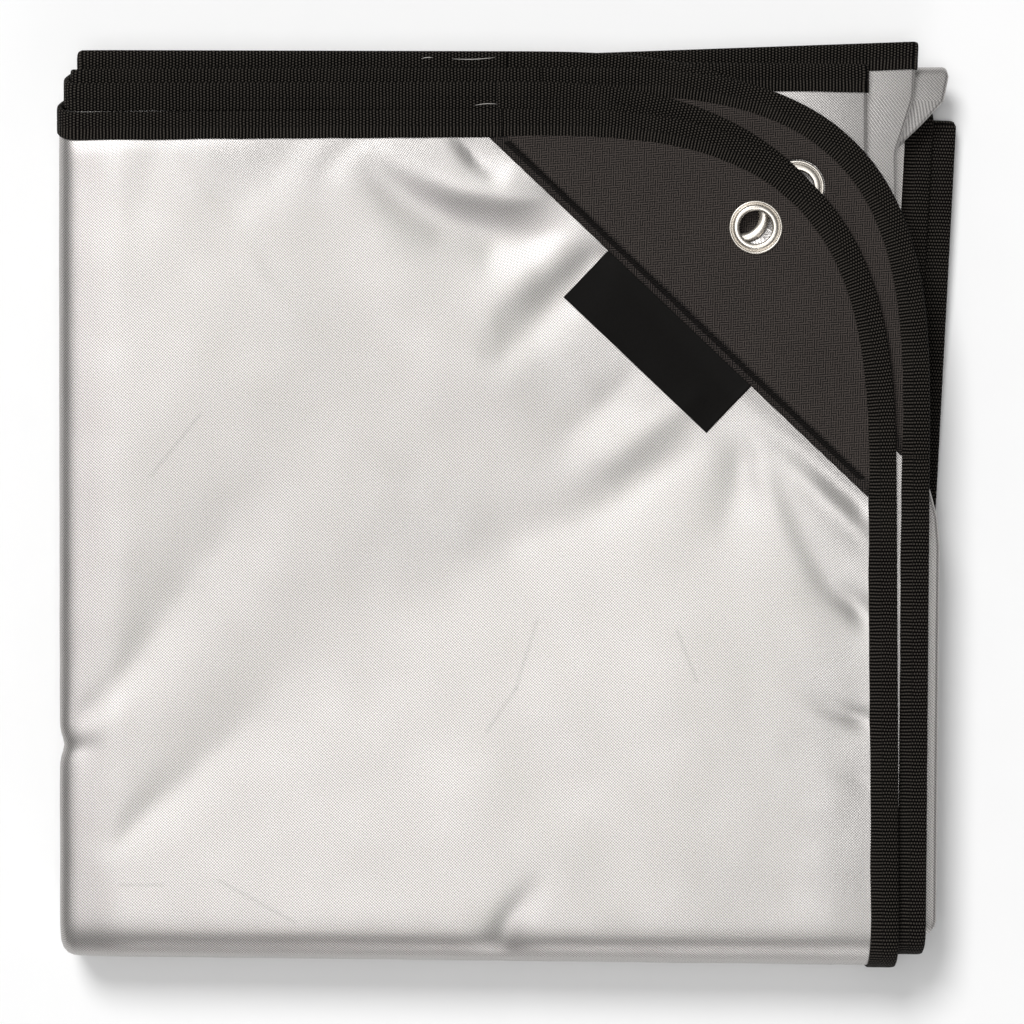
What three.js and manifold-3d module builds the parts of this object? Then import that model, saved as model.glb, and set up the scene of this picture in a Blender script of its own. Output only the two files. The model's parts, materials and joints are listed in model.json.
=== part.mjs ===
// A drum set cover of silver coated cloth, folded four times into a square packet.
// The cloth is one rectangle with rounded corners. It is folded in half across its width, in half along
// its length, then its far side is turned under the left edge and its far end under the bottom edge.
// Every piece sewn to the cloth goes through the same folds, so that it lies where its cloth lies.
// Millimetres, +Z up; +Y is the packet's upper edge and the packet rests on z = 0.
import * as THREE from "three";
import { mergeVertices } from "three/addons/utils/BufferGeometryUtils.js";
import Module from "manifold-3d";

const wasm = await Module();
wasm.setup();
const { Manifold, Mesh } = wasm;

// Driving dimensions
const CLOTH = 1.0;
const PITCH = 3.0; // from one folded layer to the next
const LAYERS = 16;
const CLEARANCE = 0.3; // between any two pieces
const TAPE = 0.55; // thickness of the binding tape and of a covered patch
const TAPE_WIDTH = 12.7; // width of the binding on one face, half of a 25.4 mm tape
const TOP_PATCH = 1.0; // thickness of the patch on the packet's top
const CORNER_REACH = 176; // from a rounded corner's start to its end
const LEFT_AXIS = -192.4; // centre line of the fold along the left edge
const BOTTOM_AXIS = -184.7; // centre line of the fold along the bottom edge
const SEAM_LEGS = { left: 181.8, right: 175.2 }; // from the square corner to the diagonal seam's two ends
const SEAM_RIM = 4; // width of the turned rim along the diagonal seam
const SEAM_RIM_HEIGHT = 1.9;
const EYELET_HOLE = 7.4; // radii of the eyelet
const EYELET_WALL = 0.5;
const EYELET_RIM = 12.15;
const EYELET_CROWN = 1.5; // height of the top eyelet's rolled rim over its seat
const EYELET_ROLL = 0.6; // the rolled rim's inner lip
const EYELET_SIDES = 28;
const LABEL = { along: 89, across: 29, thickness: 1.0, start: 74 };

// Fold radii at the middle of the cloth: half across, half along, side under, end under
const RADII = [PITCH / 2, PITCH, 2 * PITCH, 4 * PITCH];
const FACE = CLOTH / 2;
const OVER = FACE + CLEARANCE;
const TAPE_FACE = OVER + TAPE;
const HEIGHT = LAYERS * PITCH;
// The two folds under are squarer than a circle's half: their outline's power, and the angles of their steps
const NOSE_POWER = 3;
const SIDE_STEPS = [0, 22, 52, 90, 128, 158, 180].map((degrees) => degrees / 180);
const END_STEPS = [0, 18, 45, 72, 90, 108, 135, 162, 180].map((degrees) => degrees / 180);

// A layer is named by its side of the four folds: a, half across; b, half along; c, side under; d, end under.
// The four rounded corners lie on one another, from the top down. A curve's power of 2 would be a circle's
// quarter, more is squarer; inset is from the square corner of the bound edges to the eyelet's axis.
const CORNERS = [
  { a: 0, b: 0, power: 3.05, inset: { x: 62, y: 53.5 } },
  { a: 1, b: 0, power: 2.65, inset: { x: 66, y: 60.4 } },
  { a: 1, b: 1, power: 3.2, inset: { x: 60.1, y: 53.7 } },
  { a: 0, b: 1, power: 3.05, inset: { x: 62, y: 53.5 } },
];
// Bound right edges of the layers that are not turned under the left edge (c = 0): x at the upper end and
// at the bottom fold.
const RIGHT_EDGES = [
  { a: 0, b: 0, d: 0, upper: 173.3, lower: 175.3 },
  { a: 1, b: 0, d: 0, upper: 171.5, lower: 172.5 },
  { a: 1, b: 1, d: 0, upper: 191.2, lower: 188.0 },
  { a: 0, b: 1, d: 0, upper: 175.5, lower: 174.0 },
  { a: 0, b: 0, d: 1, upper: 193.0, lower: 173.5 },
  { a: 1, b: 0, d: 1, upper: 203.0, lower: 178.0 },
  { a: 1, b: 1, d: 1, upper: 205.0, lower: 186.0 },
  { a: 0, b: 1, d: 1, upper: 194.4, lower: 174.0 },
];
// Right folds of the layers turned under the left edge (c = 1): x at a few heights, from the bottom fold up
const RIGHT_FOLDS = [
  { b: 1, d: 0, y: [BOTTOM_AXIS, -10, 20, 125, 200], x: [192.5, 194, 186, 161, 161] },
  { b: 0, d: 0, y: [BOTTOM_AXIS, 100, 160, 185, 210], x: [184, 176, 175, 183, 184] },
  { b: 0, d: 1, y: [BOTTOM_AXIS, 10, 45, 135, 166, 178, 196], x: [186, 188, 181, 174, 175, 196, 199.5] },
  { b: 1, d: 1, y: [BOTTOM_AXIS, 45, 135, 166, 178, 196], x: [170, 171, 171, 172, 193, 197.5] },
];
// Bound upper edges of the layers that are not turned under the bottom edge (d = 0): y at the left fold and
// at the right end. The right end of c = 0 is where the rounded corner would be square.
const TOP_EDGES = [
  { a: 0, b: 0, c: 0, left: 175.8, right: 178.4 },
  { a: 1, b: 0, c: 0, left: 189.0, right: 190.4 },
  { a: 1, b: 1, c: 0, left: 195.6, right: 197.0 },
  { a: 0, b: 1, c: 0, left: 204.6, right: 203.6 },
  { a: 0, b: 1, c: 1, left: 202.0, right: 198.5 },
  { a: 1, b: 1, c: 1, left: 196.5, right: 198.5 },
  { a: 1, b: 0, c: 1, left: 196.0, right: 209.4 },
  { a: 0, b: 0, c: 1, left: 185.0, right: 209.4 },
];
// Upper folds of the layers turned under the bottom edge (d = 1): y of the fold's centre line
const TOP_FOLDS = [
  { a: 0, c: 0, left: 187.0, right: 176.0 },
  { a: 1, c: 0, left: 186.0, right: 173.4 },
  { a: 0, c: 1, left: 191.0, right: 195.0 },
  { a: 1, c: 1, left: 190.5, right: 195.0 },
];
// Soft ridges and troughs of the packet's top: a line from one point to another, how far its side reaches
// and how high it stands at the top layer. They fade with depth.
const RELIEF = [
  { from: [-193, -100], to: [-127, -10], reach: 34, height: -1.9 },
  { from: [-127, -10], to: [-71, 49], reach: 38, height: -1.1 },
  { from: [-178, -156], to: [-110, -89], reach: 32, height: -1.7 },
  { from: [-110, -89], to: [-48, -30], reach: 38, height: -0.9 },
  { from: [-10, -13], to: [66, 24], reach: 32, height: -1.2 },
  { from: [-140, -95], to: [-85, -25], reach: 36, height: 1.3 },
  { from: [-54, 147], to: [16, 130], reach: 26, height: -1.8 },
  { from: [36, 114], to: [-1, 77], reach: 26, height: -1.5 },
  { from: [27, 80], to: [92, 27], reach: 26, height: 1.2 },
  { from: [109, 38], to: [137, -7], reach: 26, height: 1.0 },
  { from: [145, -140], to: [145, -178], reach: 34, height: 1.1 },
  { from: [19, -169], to: [-4, -191], reach: 28, height: -1.6 },
];
// The relief dies away over this distance before the bound edges and before the diagonal seam
const CALM = { over: 26, right: 150, top: 160, diagonal: 150 };
const SINK_FROM = 158; // to the left of here the lowest layers sink until their cloth lies on the floor
const SINK_TO = 110;
const SINK_DEPTH = 24; // layers above this height stay level

const BOTTOM_LEAN = { slope: -0.011, level: -17, reach: 200 }; // the bottom fold falls to the right

// How finely each stretch of cloth is divided, and the shares of the stretch between the bottom and top folds
const ACROSS_STEPS = { a0c0: 11, a0c1: 5, half: 4, a1c1: 5, a1c0: 7 };
const ALONG_STEPS = { b0d0: 11, half: 5, b1d0: 8 };
const RISE_STEPS = [0, 0.2, 0.4, 0.58, 0.74, 0.86, 0.925, 0.955, 1];

const cloth = new THREE.MeshStandardMaterial({ name: "silver_cloth", color: 0xc9c6bf, roughness: 0.5 });
const webbing = new THREE.MeshStandardMaterial({ name: "black_webbing", color: 0x151413, roughness: 0.8 });
const canvas = new THREE.MeshStandardMaterial({ name: "dark_canvas", color: 0x38322f, roughness: 0.85 });
const nickel = new THREE.MeshStandardMaterial({
  name: "nickel",
  color: 0xb4b1aa,
  metalness: 1,
  roughness: 0.25,
});
const satin = new THREE.MeshStandardMaterial({ name: "black_satin", color: 0x0d0d0e, roughness: 0.45 });

const lerp = THREE.MathUtils.lerp;
const smooth = THREE.MathUtils.smoothstep;

function find(table, sides) {
  return table.find((row) => Object.keys(sides).every((key) => row[key] === sides[key]));
}

// x of a right fold at height y, along straight lines between the table's points
function foldAt(row, y) {
  const last = row.y.length - 1;
  let i = 0;
  while (i < last - 1 && y > row.y[i + 1]) {
    i += 1;
  }
  const share = THREE.MathUtils.clamp((y - row.y[i]) / (row.y[i + 1] - row.y[i]), 0, 1);
  return lerp(row.x[i], row.x[i + 1], share);
}

// How far a rounded corner falls short of the square corner's line, at a distance past the curve's start
function cornerDrop(past, power) {
  const share = THREE.MathUtils.clamp(past / CORNER_REACH, 0, 1);
  return CORNER_REACH * (1 - Math.pow(1 - Math.pow(share, power), 1 / power));
}

function cornerPower({ a, b }) {
  return find(CORNERS, { a, b }).power;
}

// The rounded corner as a curve: a point at an angle, and its outward direction
function cornerPoint(layer, angle, outward = 0) {
  const power = cornerPower(layer);
  const cos = Math.max(Math.cos(angle), 0);
  const sin = Math.max(Math.sin(angle), 0);
  const x = CORNER_REACH * Math.pow(cos, 2 / power);
  const y = CORNER_REACH * Math.pow(sin, 2 / power);
  const normal = new THREE.Vector2(
    Math.pow(x / CORNER_REACH, power - 1),
    Math.pow(y / CORNER_REACH, power - 1),
  ).normalize();
  const square = squareCorner(layer);
  return new THREE.Vector2(
    square.x - CORNER_REACH + x + outward * normal.x,
    square.y - CORNER_REACH + y + outward * normal.y,
  );
}

function squareCorner({ a, b }) {
  return new THREE.Vector2(
    find(RIGHT_EDGES, { a, b, d: 0 }).upper,
    find(TOP_EDGES, { a, b, c: 0 }).right,
  );
}

// Where a rounded corner's curve is at 45 degrees: the grid's own corner
function cornerMiddle(layer) {
  return cornerPoint(layer, Math.PI / 4);
}

// A bound corner's edges lean a little: the top edge rises to the right, the right edge leans as it goes down
function lean({ a, b }, point) {
  const right = find(RIGHT_EDGES, { a, b, d: 0 });
  const top = find(TOP_EDGES, { a, b, c: 0 });
  const across = (point.x - LEFT_AXIS) / (right.upper - LEFT_AXIS);
  const along = (point.y - BOTTOM_AXIS) / (top.right - BOTTOM_AXIS);
  const dx = (right.lower - right.upper) * (1 - along) * across;
  const dy = (top.left - top.right) * (1 - across) * along;
  return new THREE.Vector2(point.x + dx, point.y + dy);
}

// A point of one layer before the folds' own roundness, f from left to right and g from bottom to top
function layerPoint({ a, b, c, d }, f, g) {
  if (c === 0 && d === 0) {
    const square = squareCorner({ a, b });
    const middle = cornerMiddle({ a, b });
    const power = cornerPower({ a, b });
    const y = lerp(BOTTOM_AXIS, middle.y, g);
    const x = lerp(LEFT_AXIS, middle.x, f);
    const right = square.x - cornerDrop(y - square.y + CORNER_REACH, power);
    const top = square.y - cornerDrop(x - square.x + CORNER_REACH, power);
    return lean({ a, b }, new THREE.Vector2(lerp(LEFT_AXIS, right, f), lerp(BOTTOM_AXIS, top, g)));
  }
  const edge = d === 0 ? find(TOP_EDGES, { a, b, c }) : find(TOP_FOLDS, { a, c });
  const y = lerp(BOTTOM_AXIS, lerp(edge.left, edge.right, f), g);
  const yRight = lerp(BOTTOM_AXIS, edge.right, g);
  if (c === 0) {
    const side = find(RIGHT_EDGES, { a, b, d });
    return new THREE.Vector2(lerp(LEFT_AXIS, lerp(side.lower, side.upper, g), f), y);
  }
  return new THREE.Vector2(lerp(LEFT_AXIS, foldAt(find(RIGHT_FOLDS, { b, d }), yRight), f), y);
}

// A station is a place across or along the cloth. In a fold it lies between two layers and has an angle.
// Across: from the right free edge under the left edge, round the half fold, back and out again.
function stretch(steps, make) {
  return Array.from({ length: steps + 1 }, (_, i) => make(i / steps));
}

function flatAcross(a, c, f) {
  return { f, half: a * Math.PI, under: c * Math.PI, ends: [{ a, c, share: 1 }] };
}

function underAcross(a, t) {
  const share = smooth(t, 0, 1);
  return {
    f: 0,
    half: a * Math.PI,
    under: t * Math.PI,
    ends: [
      { a, c: 0, share: 1 - share },
      { a, c: 1, share },
    ],
  };
}

function halfAcross(t) {
  return {
    f: 1,
    half: t * Math.PI,
    under: Math.PI,
    ends: [
      { a: 0, c: 1, share: 1 - t },
      { a: 1, c: 1, share: t },
    ],
  };
}

function flatAlong(b, d, g) {
  return { g, half: b * Math.PI, under: d * Math.PI, ends: [{ b, d, share: 1 }] };
}

function underAlong(b, t) {
  const share = smooth(t, 0, 1);
  return {
    g: 0,
    half: b * Math.PI,
    under: t * Math.PI,
    ends: [
      { b, d: 0, share: 1 - share },
      { b, d: 1, share },
    ],
  };
}

function halfAlong(t) {
  return {
    g: 1,
    half: t * Math.PI,
    under: Math.PI,
    ends: [
      { b: 0, d: 1, share: 1 - t },
      { b: 1, d: 1, share: t },
    ],
  };
}

// Steps crowd towards the edge that is bound, where the corner curves
const CROWDING = 1.25;

function crowd(t) {
  return 1 - Math.pow(1 - t, CROWDING);
}

function joinStations(stretches) {
  return stretches.flatMap((list, i) => (i === 0 ? list : list.slice(1)));
}

const across = joinStations([
  stretch(ACROSS_STEPS.a0c0, (t) => flatAcross(0, 0, crowd(1 - t))),
  SIDE_STEPS.map((t) => underAcross(0, t)),
  stretch(ACROSS_STEPS.a0c1, (t) => flatAcross(0, 1, t)),
  stretch(ACROSS_STEPS.half, (t) => halfAcross(t)),
  stretch(ACROSS_STEPS.a1c1, (t) => flatAcross(1, 1, 1 - t)),
  SIDE_STEPS.map((t) => underAcross(1, 1 - t)),
  stretch(ACROSS_STEPS.a1c0, (t) => flatAcross(1, 0, crowd(t))),
]);
const along = joinStations([
  stretch(ALONG_STEPS.b0d0, (t) => flatAlong(0, 0, crowd(1 - t))),
  END_STEPS.map((t) => underAlong(0, t)),
  RISE_STEPS.map((t) => flatAlong(0, 1, t)),
  stretch(ALONG_STEPS.half, (t) => halfAlong(t)),
  RISE_STEPS.toReversed().map((t) => flatAlong(1, 1, t)),
  END_STEPS.map((t) => underAlong(1, 1 - t)),
  stretch(ALONG_STEPS.b1d0, (t) => flatAlong(1, 0, crowd(t))),
]);

// The point of the cloth's middle at two stations, before the folds' roundness
function spread(u, v) {
  const point = new THREE.Vector2();
  for (const s of u.ends) {
    for (const t of v.ends) {
      point.addScaledVector(layerPoint({ ...s, ...t }, u.f, v.g), s.share * t.share);
    }
  }
  return point;
}

// Height of the soft ridges and troughs at a place on the packet's top
function relief(x, y) {
  let sum = 0;
  for (const { from, to, reach, height } of RELIEF) {
    const line = new THREE.Line3(new THREE.Vector3(...from, 0), new THREE.Vector3(...to, 0));
    const here = new THREE.Vector3(x, y, 0);
    const away = line.closestPointToPoint(here, true, new THREE.Vector3()).distanceTo(here);
    sum += height * (1 - smooth(away, 0, reach));
  }
  const calm = (place, end) => 1 - smooth(place, end - CALM.over, end);
  return sum * calm(x, CALM.right) * calm(y, CALM.top) * calm(x + y, CALM.diagonal);
}

// A cosine or sine for a fold that is squarer than a circle
function squarer(value) {
  return Math.sign(value) * Math.pow(Math.abs(value), 2 / NOSE_POWER);
}

// The four folds' roundness: point is on the cloth's middle, w is the height over it towards the outer face
function fold(u, v, point, w) {
  const half = RADII[0] + w;
  const h1 = half * Math.cos(u.half);
  const along2 = RADII[1] + h1;
  const h2 = along2 * Math.cos(v.half);
  const side = RADII[2] + h2;
  const h3 = side * squarer(Math.cos(u.under));
  const end = RADII[3] + h3;
  const h4 = end * squarer(Math.cos(v.under));
  const x = point.x + half * Math.sin(u.half) - side * squarer(Math.sin(u.under));
  const y = point.y + along2 * Math.sin(v.half) - end * squarer(Math.sin(v.under));
  return settle(new THREE.Vector3(x, y, h4 + HEIGHT / 2));
}

// The packet's unevenness: ridges at the top, the flat rest on the floor, and the bottom edge's lean
function settle(p) {
  const depth = p.z / HEIGHT;
  const floor = PITCH / 2 - TAPE_FACE;
  const low = 1 - smooth(p.z, PITCH, SINK_DEPTH);
  const sink = (TAPE_FACE - FACE) * low * (1 - smooth(p.x, SINK_TO, SINK_FROM));
  p.z += relief(p.x, p.y) * depth * depth - floor - sink;
  p.y += BOTTOM_LEAN.slope * (p.x - BOTTOM_LEAN.level) * smooth(-p.y, 0, BOTTOM_LEAN.reach);
  return p;
}

function place(u, v, w) {
  return fold(u, v, spread(u, v), w);
}

// A solid from points and triangles
function solid(points, triangles) {
  const mesh = new Mesh({
    numProp: 3,
    vertProperties: new Float32Array(points.flatMap((p) => p.toArray())),
    triVerts: new Uint32Array(triangles.flat()),
  });
  mesh.merge();
  return new Manifold(mesh);
}

function quad(a, b, c, d) {
  return [
    [a, b, c],
    [a, c, d],
  ];
}

// A closed sheet between two heights over the cloth's middle, on a grid of stations
function sheet(us, vs, low, high) {
  const points = [];
  for (const w of [low, high]) {
    for (const u of us) {
      for (const v of vs) {
        points.push(place(u, v, w));
      }
    }
  }
  const rows = vs.length;
  const layer = us.length * rows;
  const at = (i, j, top) => top * layer + i * rows + j;
  const triangles = [];
  for (let i = 0; i < us.length - 1; i += 1) {
    for (let j = 0; j < rows - 1; j += 1) {
      triangles.push(...quad(at(i, j, 1), at(i + 1, j, 1), at(i + 1, j + 1, 1), at(i, j + 1, 1)));
      triangles.push(...quad(at(i, j, 0), at(i, j + 1, 0), at(i + 1, j + 1, 0), at(i + 1, j, 0)));
    }
    triangles.push(...quad(at(i, 0, 0), at(i + 1, 0, 0), at(i + 1, 0, 1), at(i, 0, 1)));
    const end = rows - 1;
    triangles.push(...quad(at(i + 1, end, 0), at(i, end, 0), at(i, end, 1), at(i + 1, end, 1)));
  }
  for (let j = 0; j < rows - 1; j += 1) {
    const end = us.length - 1;
    triangles.push(...quad(at(0, j + 1, 0), at(0, j, 0), at(0, j, 1), at(0, j + 1, 1)));
    triangles.push(...quad(at(end, j, 0), at(end, j + 1, 0), at(end, j + 1, 1), at(end, j, 1)));
  }
  return solid(points, triangles);
}

// The binding's section: out is measured from the cloth's edge, w from the cloth's middle
const TAPE_IN = CLEARANCE + TAPE - TAPE_WIDTH;
const TAPE_SECTION = [
  { out: TAPE_IN, w: OVER },
  { out: CLEARANCE, w: OVER },
  { out: CLEARANCE, w: -OVER },
  { out: TAPE_IN, w: -OVER },
  { out: TAPE_IN, w: -TAPE_FACE },
  { out: CLEARANCE + TAPE, w: -TAPE_FACE },
  { out: CLEARANCE + TAPE, w: TAPE_FACE },
  { out: TAPE_IN, w: TAPE_FACE },
];

const EDGE_STEP = 0.02; // a short step as a share of a layer: an edge's slant is measured over it

// A binding piece swept along an edge, from functions that place the section's points
function binding(stations) {
  const size = TAPE_SECTION.length;
  const points = stations.flatMap((station) => TAPE_SECTION.map((s) => station(s.out, s.w)));
  const triangles = [];
  for (let i = 0; i < stations.length - 1; i += 1) {
    for (let j = 0; j < size; j += 1) {
      const next = (j + 1) % size;
      triangles.push(...quad(i * size + j, i * size + next, (i + 1) * size + next, (i + 1) * size + j));
    }
  }
  const outline = TAPE_SECTION.map((s) => new THREE.Vector2(s.out, s.w));
  const last = (stations.length - 1) * size;
  for (const [p, q, r] of THREE.ShapeUtils.triangulateShape(outline, [])) {
    triangles.push([r, q, p], [last + p, last + q, last + r]);
  }
  const made = solid(points, triangles);
  return made.volume() > 0 ? made : solid(points, triangles.map(([p, q, r]) => [r, q, p]));
}

function cornerStart(layer, axis) {
  return squareCorner(layer)[axis] - CORNER_REACH;
}

// A straight run keeps to the cloth's grid stations, all but those in the rounded corners at its two ends
function topRun(b) {
  const v = flatAlong(b, 0, 1);
  const stations = [];
  const stop = (a) => {
    const whole = cornerMiddle({ a, b }).x - LEFT_AXIS;
    return flatAcross(a, 0, (cornerStart({ a, b }, "x") - CLEARANCE - LEFT_AXIS) / whole);
  };
  const kept = across.filter((u) => {
    const { a, c } = u.ends[0];
    return u.ends.length > 1 || c === 1 || u.f < stop(a).f - EDGE_STEP;
  });
  for (const u of [stop(0), ...kept, stop(1)]) {
    const edge = spread(u, v);
    const inner = spread(u, { ...v, g: 1 - EDGE_STEP });
    const free = u.ends.some((end) => end.c === 0);
    const slant = free ? 0 : (edge.x - inner.x) / (edge.y - inner.y);
    stations.push((out, w) => fold(u, v, new THREE.Vector2(edge.x + slant * out, edge.y + out), w));
  }
  return binding(stations);
}

function sideRun(a) {
  const u = flatAcross(a, 0, 1);
  const stations = [];
  const stop = (b) => {
    const whole = cornerMiddle({ a, b }).y - BOTTOM_AXIS;
    return flatAlong(b, 0, (cornerStart({ a, b }, "y") - CLEARANCE - BOTTOM_AXIS) / whole);
  };
  const kept = along.filter((v) => {
    const { b, d } = v.ends[0];
    return v.ends.length > 1 || d === 1 || v.g < stop(b).g - EDGE_STEP;
  });
  for (const v of [stop(0), ...kept, stop(1)]) {
    const edge = spread(u, v);
    const inner = spread({ ...u, f: 1 - EDGE_STEP }, v);
    const free = v.ends.some((end) => end.d === 0);
    const slant = free ? 0 : (edge.y - inner.y) / (edge.x - inner.x);
    stations.push((out, w) => fold(u, v, new THREE.Vector2(edge.x + out, edge.y + slant * out), w));
  }
  return binding(stations);
}

// A point of a free corner's layer at a place that isn't on the grid
function onCorner({ a, b }, point, w) {
  return fold(flatAcross(a, 0, 1), flatAlong(b, 0, 1), lean({ a, b }, point), w);
}

// The angles of the cloth's grid points on a rounded corner. The binding and the patch keep to them, so that
// their straight steps run beside the cloth's.
function cornerAngles(layer) {
  const { a, b } = layer;
  const square = squareCorner(layer);
  const middle = cornerMiddle(layer);
  const power = cornerPower(layer);
  const angleAt = (x, y) => Math.atan2(Math.pow(y, power / 2), Math.pow(x, power / 2));
  const angles = [];
  for (const v of along) {
    const rise = lerp(BOTTOM_AXIS, middle.y, v.g) - square.y + CORNER_REACH;
    if (v.ends.length === 1 && v.ends[0].d === 0 && v.ends[0].b === b && rise > 1) {
      angles.push(angleAt(CORNER_REACH - cornerDrop(rise, power), rise));
    }
  }
  for (const u of across) {
    const run = lerp(LEFT_AXIS, middle.x, u.f) - square.x + CORNER_REACH;
    if (u.ends.length === 1 && u.ends[0].c === 0 && u.ends[0].a === a && run > 1 && u.f < 1) {
      angles.push(angleAt(run, CORNER_REACH - cornerDrop(run, power)));
    }
  }
  angles.sort((p, q) => p - q);
  return [0, ...angles, Math.PI / 2];
}

function cornerRun(layer) {
  const station = (angle) => (out, w) => onCorner(layer, cornerPoint(layer, angle, out), w);
  return binding(cornerAngles(layer).map(station));
}

// A tall prism over an outline, to cut a shape out of a sheet or a hole through one layer
function prism(outline, low, high) {
  const flat = outline.map((p) => [p.x, p.y]);
  return Manifold.extrude([flat], high - low).translate([0, 0, low]);
}

function layerStations({ a, b }) {
  const us = across.filter((u) => u.ends.length === 1 && u.ends[0].a === a && u.ends[0].c === 0);
  const vs = along.filter((v) => v.ends.length === 1 && v.ends[0].b === b && v.ends[0].d === 0);
  return { us, vs };
}

function eyeletCentre(layer) {
  const square = squareCorner(layer);
  const { inset } = find(CORNERS, { a: layer.a, b: layer.b });
  return lean(layer, new THREE.Vector2(square.x - inset.x, square.y - inset.y));
}

// The eyelet's middle on its own layer of the packet
function eyeletSeat(layer) {
  return fold(flatAcross(layer.a, 0, 1), flatAlong(layer.b, 0, 1), eyeletCentre(layer), 0);
}

function disc(centre, radius) {
  return stretch(EYELET_SIDES - 1, (t) => {
    const angle = (t * (EYELET_SIDES - 1) * 2 * Math.PI) / EYELET_SIDES;
    return new THREE.Vector2(centre.x + radius * Math.cos(angle), centre.y + radius * Math.sin(angle));
  });
}

// The ends of the diagonal seam, where it meets the binding's inner edge
function seamEnds(layer) {
  const square = squareCorner(layer);
  const inner = CLEARANCE - TAPE_IN;
  return [
    new THREE.Vector2(square.x - SEAM_LEGS.left, square.y - inner),
    new THREE.Vector2(square.x - inner, square.y - SEAM_LEGS.right),
  ];
}

// The patch fills the corner inside the binding, up to the diagonal seam
function patchOutline(layer) {
  const arc = cornerAngles(layer).map((angle) => cornerPoint(layer, angle, TAPE_IN - CLEARANCE));
  const [left, right] = seamEnds(layer);
  return [right, ...arc, left].map((p) => lean(layer, p));
}

function seamStrip(layer) {
  const [left, right] = seamEnds(layer);
  const inward = new THREE.Vector2(SEAM_RIM, SEAM_RIM).multiplyScalar(Math.SQRT1_2);
  const trim = new THREE.Vector2(2 * SEAM_RIM, -2 * SEAM_RIM).multiplyScalar(Math.SQRT1_2);
  const ends = [left.clone().add(trim), right.clone().sub(trim)];
  const outline = [ends[0], ends[1], ends[1].clone().add(inward), ends[0].clone().add(inward)];
  return outline.map((p) => lean(layer, p));
}

function patch(layer, onTop) {
  const { us, vs } = layerStations(layer);
  const thickness = onTop ? TOP_PATCH : TAPE;
  const cut = onTop ? EYELET_HOLE + EYELET_WALL + CLEARANCE : EYELET_RIM + CLEARANCE;
  const everyHeight = [-HEIGHT, 3 * HEIGHT];
  let made = sheet(us, vs, OVER, OVER + thickness).intersect(prism(patchOutline(layer), ...everyHeight));
  if (onTop) {
    const strip = prism(seamStrip(layer), ...everyHeight);
    made = made.add(sheet(us, vs, OVER, OVER + SEAM_RIM_HEIGHT).intersect(strip));
  }
  return made.subtract(prism(disc(eyeletCentre(layer), cut), ...everyHeight));
}

// An eyelet is turned about its axis: a barrel through the cloth with a flange on each face
function eyelet(layer, onTop) {
  const wall = EYELET_HOLE + EYELET_WALL;
  const top = onTop ? OVER + TOP_PATCH + CLEARANCE : OVER;
  const crown = onTop ? top + EYELET_CROWN : TAPE_FACE;
  const profile = [
    [EYELET_HOLE, -TAPE_FACE],
    [EYELET_RIM, -TAPE_FACE],
    [EYELET_RIM, -OVER],
    [wall, -OVER],
    [wall, top],
    [EYELET_RIM, top],
    [EYELET_RIM, top + (crown - top) / 3],
    [(wall + EYELET_RIM) / 2, crown],
    [EYELET_HOLE + EYELET_ROLL, crown],
    [EYELET_HOLE, (top + crown) / 2],
  ];
  const turned = Manifold.revolve([profile], EYELET_SIDES);
  const outerFaceUp = layer.a === layer.b;
  const upright = outerFaceUp ? turned : turned.rotate([180, 0, 0]);
  const seat = eyeletSeat(layer);
  return upright.translate(seat.toArray());
}

// The label lies against the diagonal seam, on the cloth
function label(layer) {
  const { us, vs } = layerStations(layer);
  const [left, right] = seamEnds(layer).map((p) => lean(layer, p));
  const down = right.clone().sub(left).normalize();
  const away = new THREE.Vector2(down.y, -down.x);
  const corner = left.clone().addScaledVector(down, LABEL.start).addScaledVector(away, CLEARANCE);
  const outline = [
    corner,
    corner.clone().addScaledVector(away, LABEL.across),
    corner.clone().addScaledVector(away, LABEL.across).addScaledVector(down, LABEL.along),
    corner.clone().addScaledVector(down, LABEL.along),
  ];
  const anticlockwise = THREE.ShapeUtils.isClockWise(outline) ? outline.reverse() : outline;
  return sheet(us, vs, OVER, OVER + LABEL.thickness).intersect(prism(anticlockwise, -HEIGHT, 3 * HEIGHT));
}

// A hole through one layer for its eyelet
function eyeletBore(layer) {
  const seat = eyeletSeat(layer);
  const reach = (PITCH - CLEARANCE) / 2;
  return prism(disc(seat, EYELET_HOLE + EYELET_WALL + CLEARANCE), seat.z - reach, seat.z + reach);
}

function mesh(name, made, material) {
  const { vertProperties, triVerts, numProp } = made.getMesh();
  const geometry = new THREE.BufferGeometry();
  const positions = new Float32Array((vertProperties.length / numProp) * 3);
  for (let i = 0; i < positions.length / 3; i += 1) {
    positions.set(vertProperties.subarray(i * numProp, i * numProp + 3), i * 3);
  }
  geometry.setAttribute("position", new THREE.BufferAttribute(positions, 3));
  geometry.setIndex(new THREE.BufferAttribute(new Uint32Array(triVerts), 1));
  const whole = mergeVertices(geometry);
  whole.computeVertexNormals();
  const node = new THREE.Mesh(whole, material);
  node.name = name;
  return node;
}

const group = new THREE.Group();
let cover = sheet(across, along, -FACE, FACE);
for (const layer of CORNERS) {
  cover = cover.subtract(eyeletBore(layer));
}
group.add(mesh("cloth", cover, cloth));
group.add(mesh("binding_top_run", topRun(0), webbing));
group.add(mesh("binding_under_run", topRun(1), webbing));
group.add(mesh("binding_outer_side_run", sideRun(0), webbing));
group.add(mesh("binding_inner_side_run", sideRun(1), webbing));
CORNERS.forEach((layer, i) => {
  const onTop = i === 0;
  group.add(mesh(`binding_corner_${i + 1}`, cornerRun(layer), webbing));
  group.add(mesh(`patch_${i + 1}`, patch(layer, onTop), canvas));
  group.add(mesh(`eyelet_${i + 1}`, eyelet(layer, onTop), nickel));
});
group.add(mesh("label", label(CORNERS[0]), satin));

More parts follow.
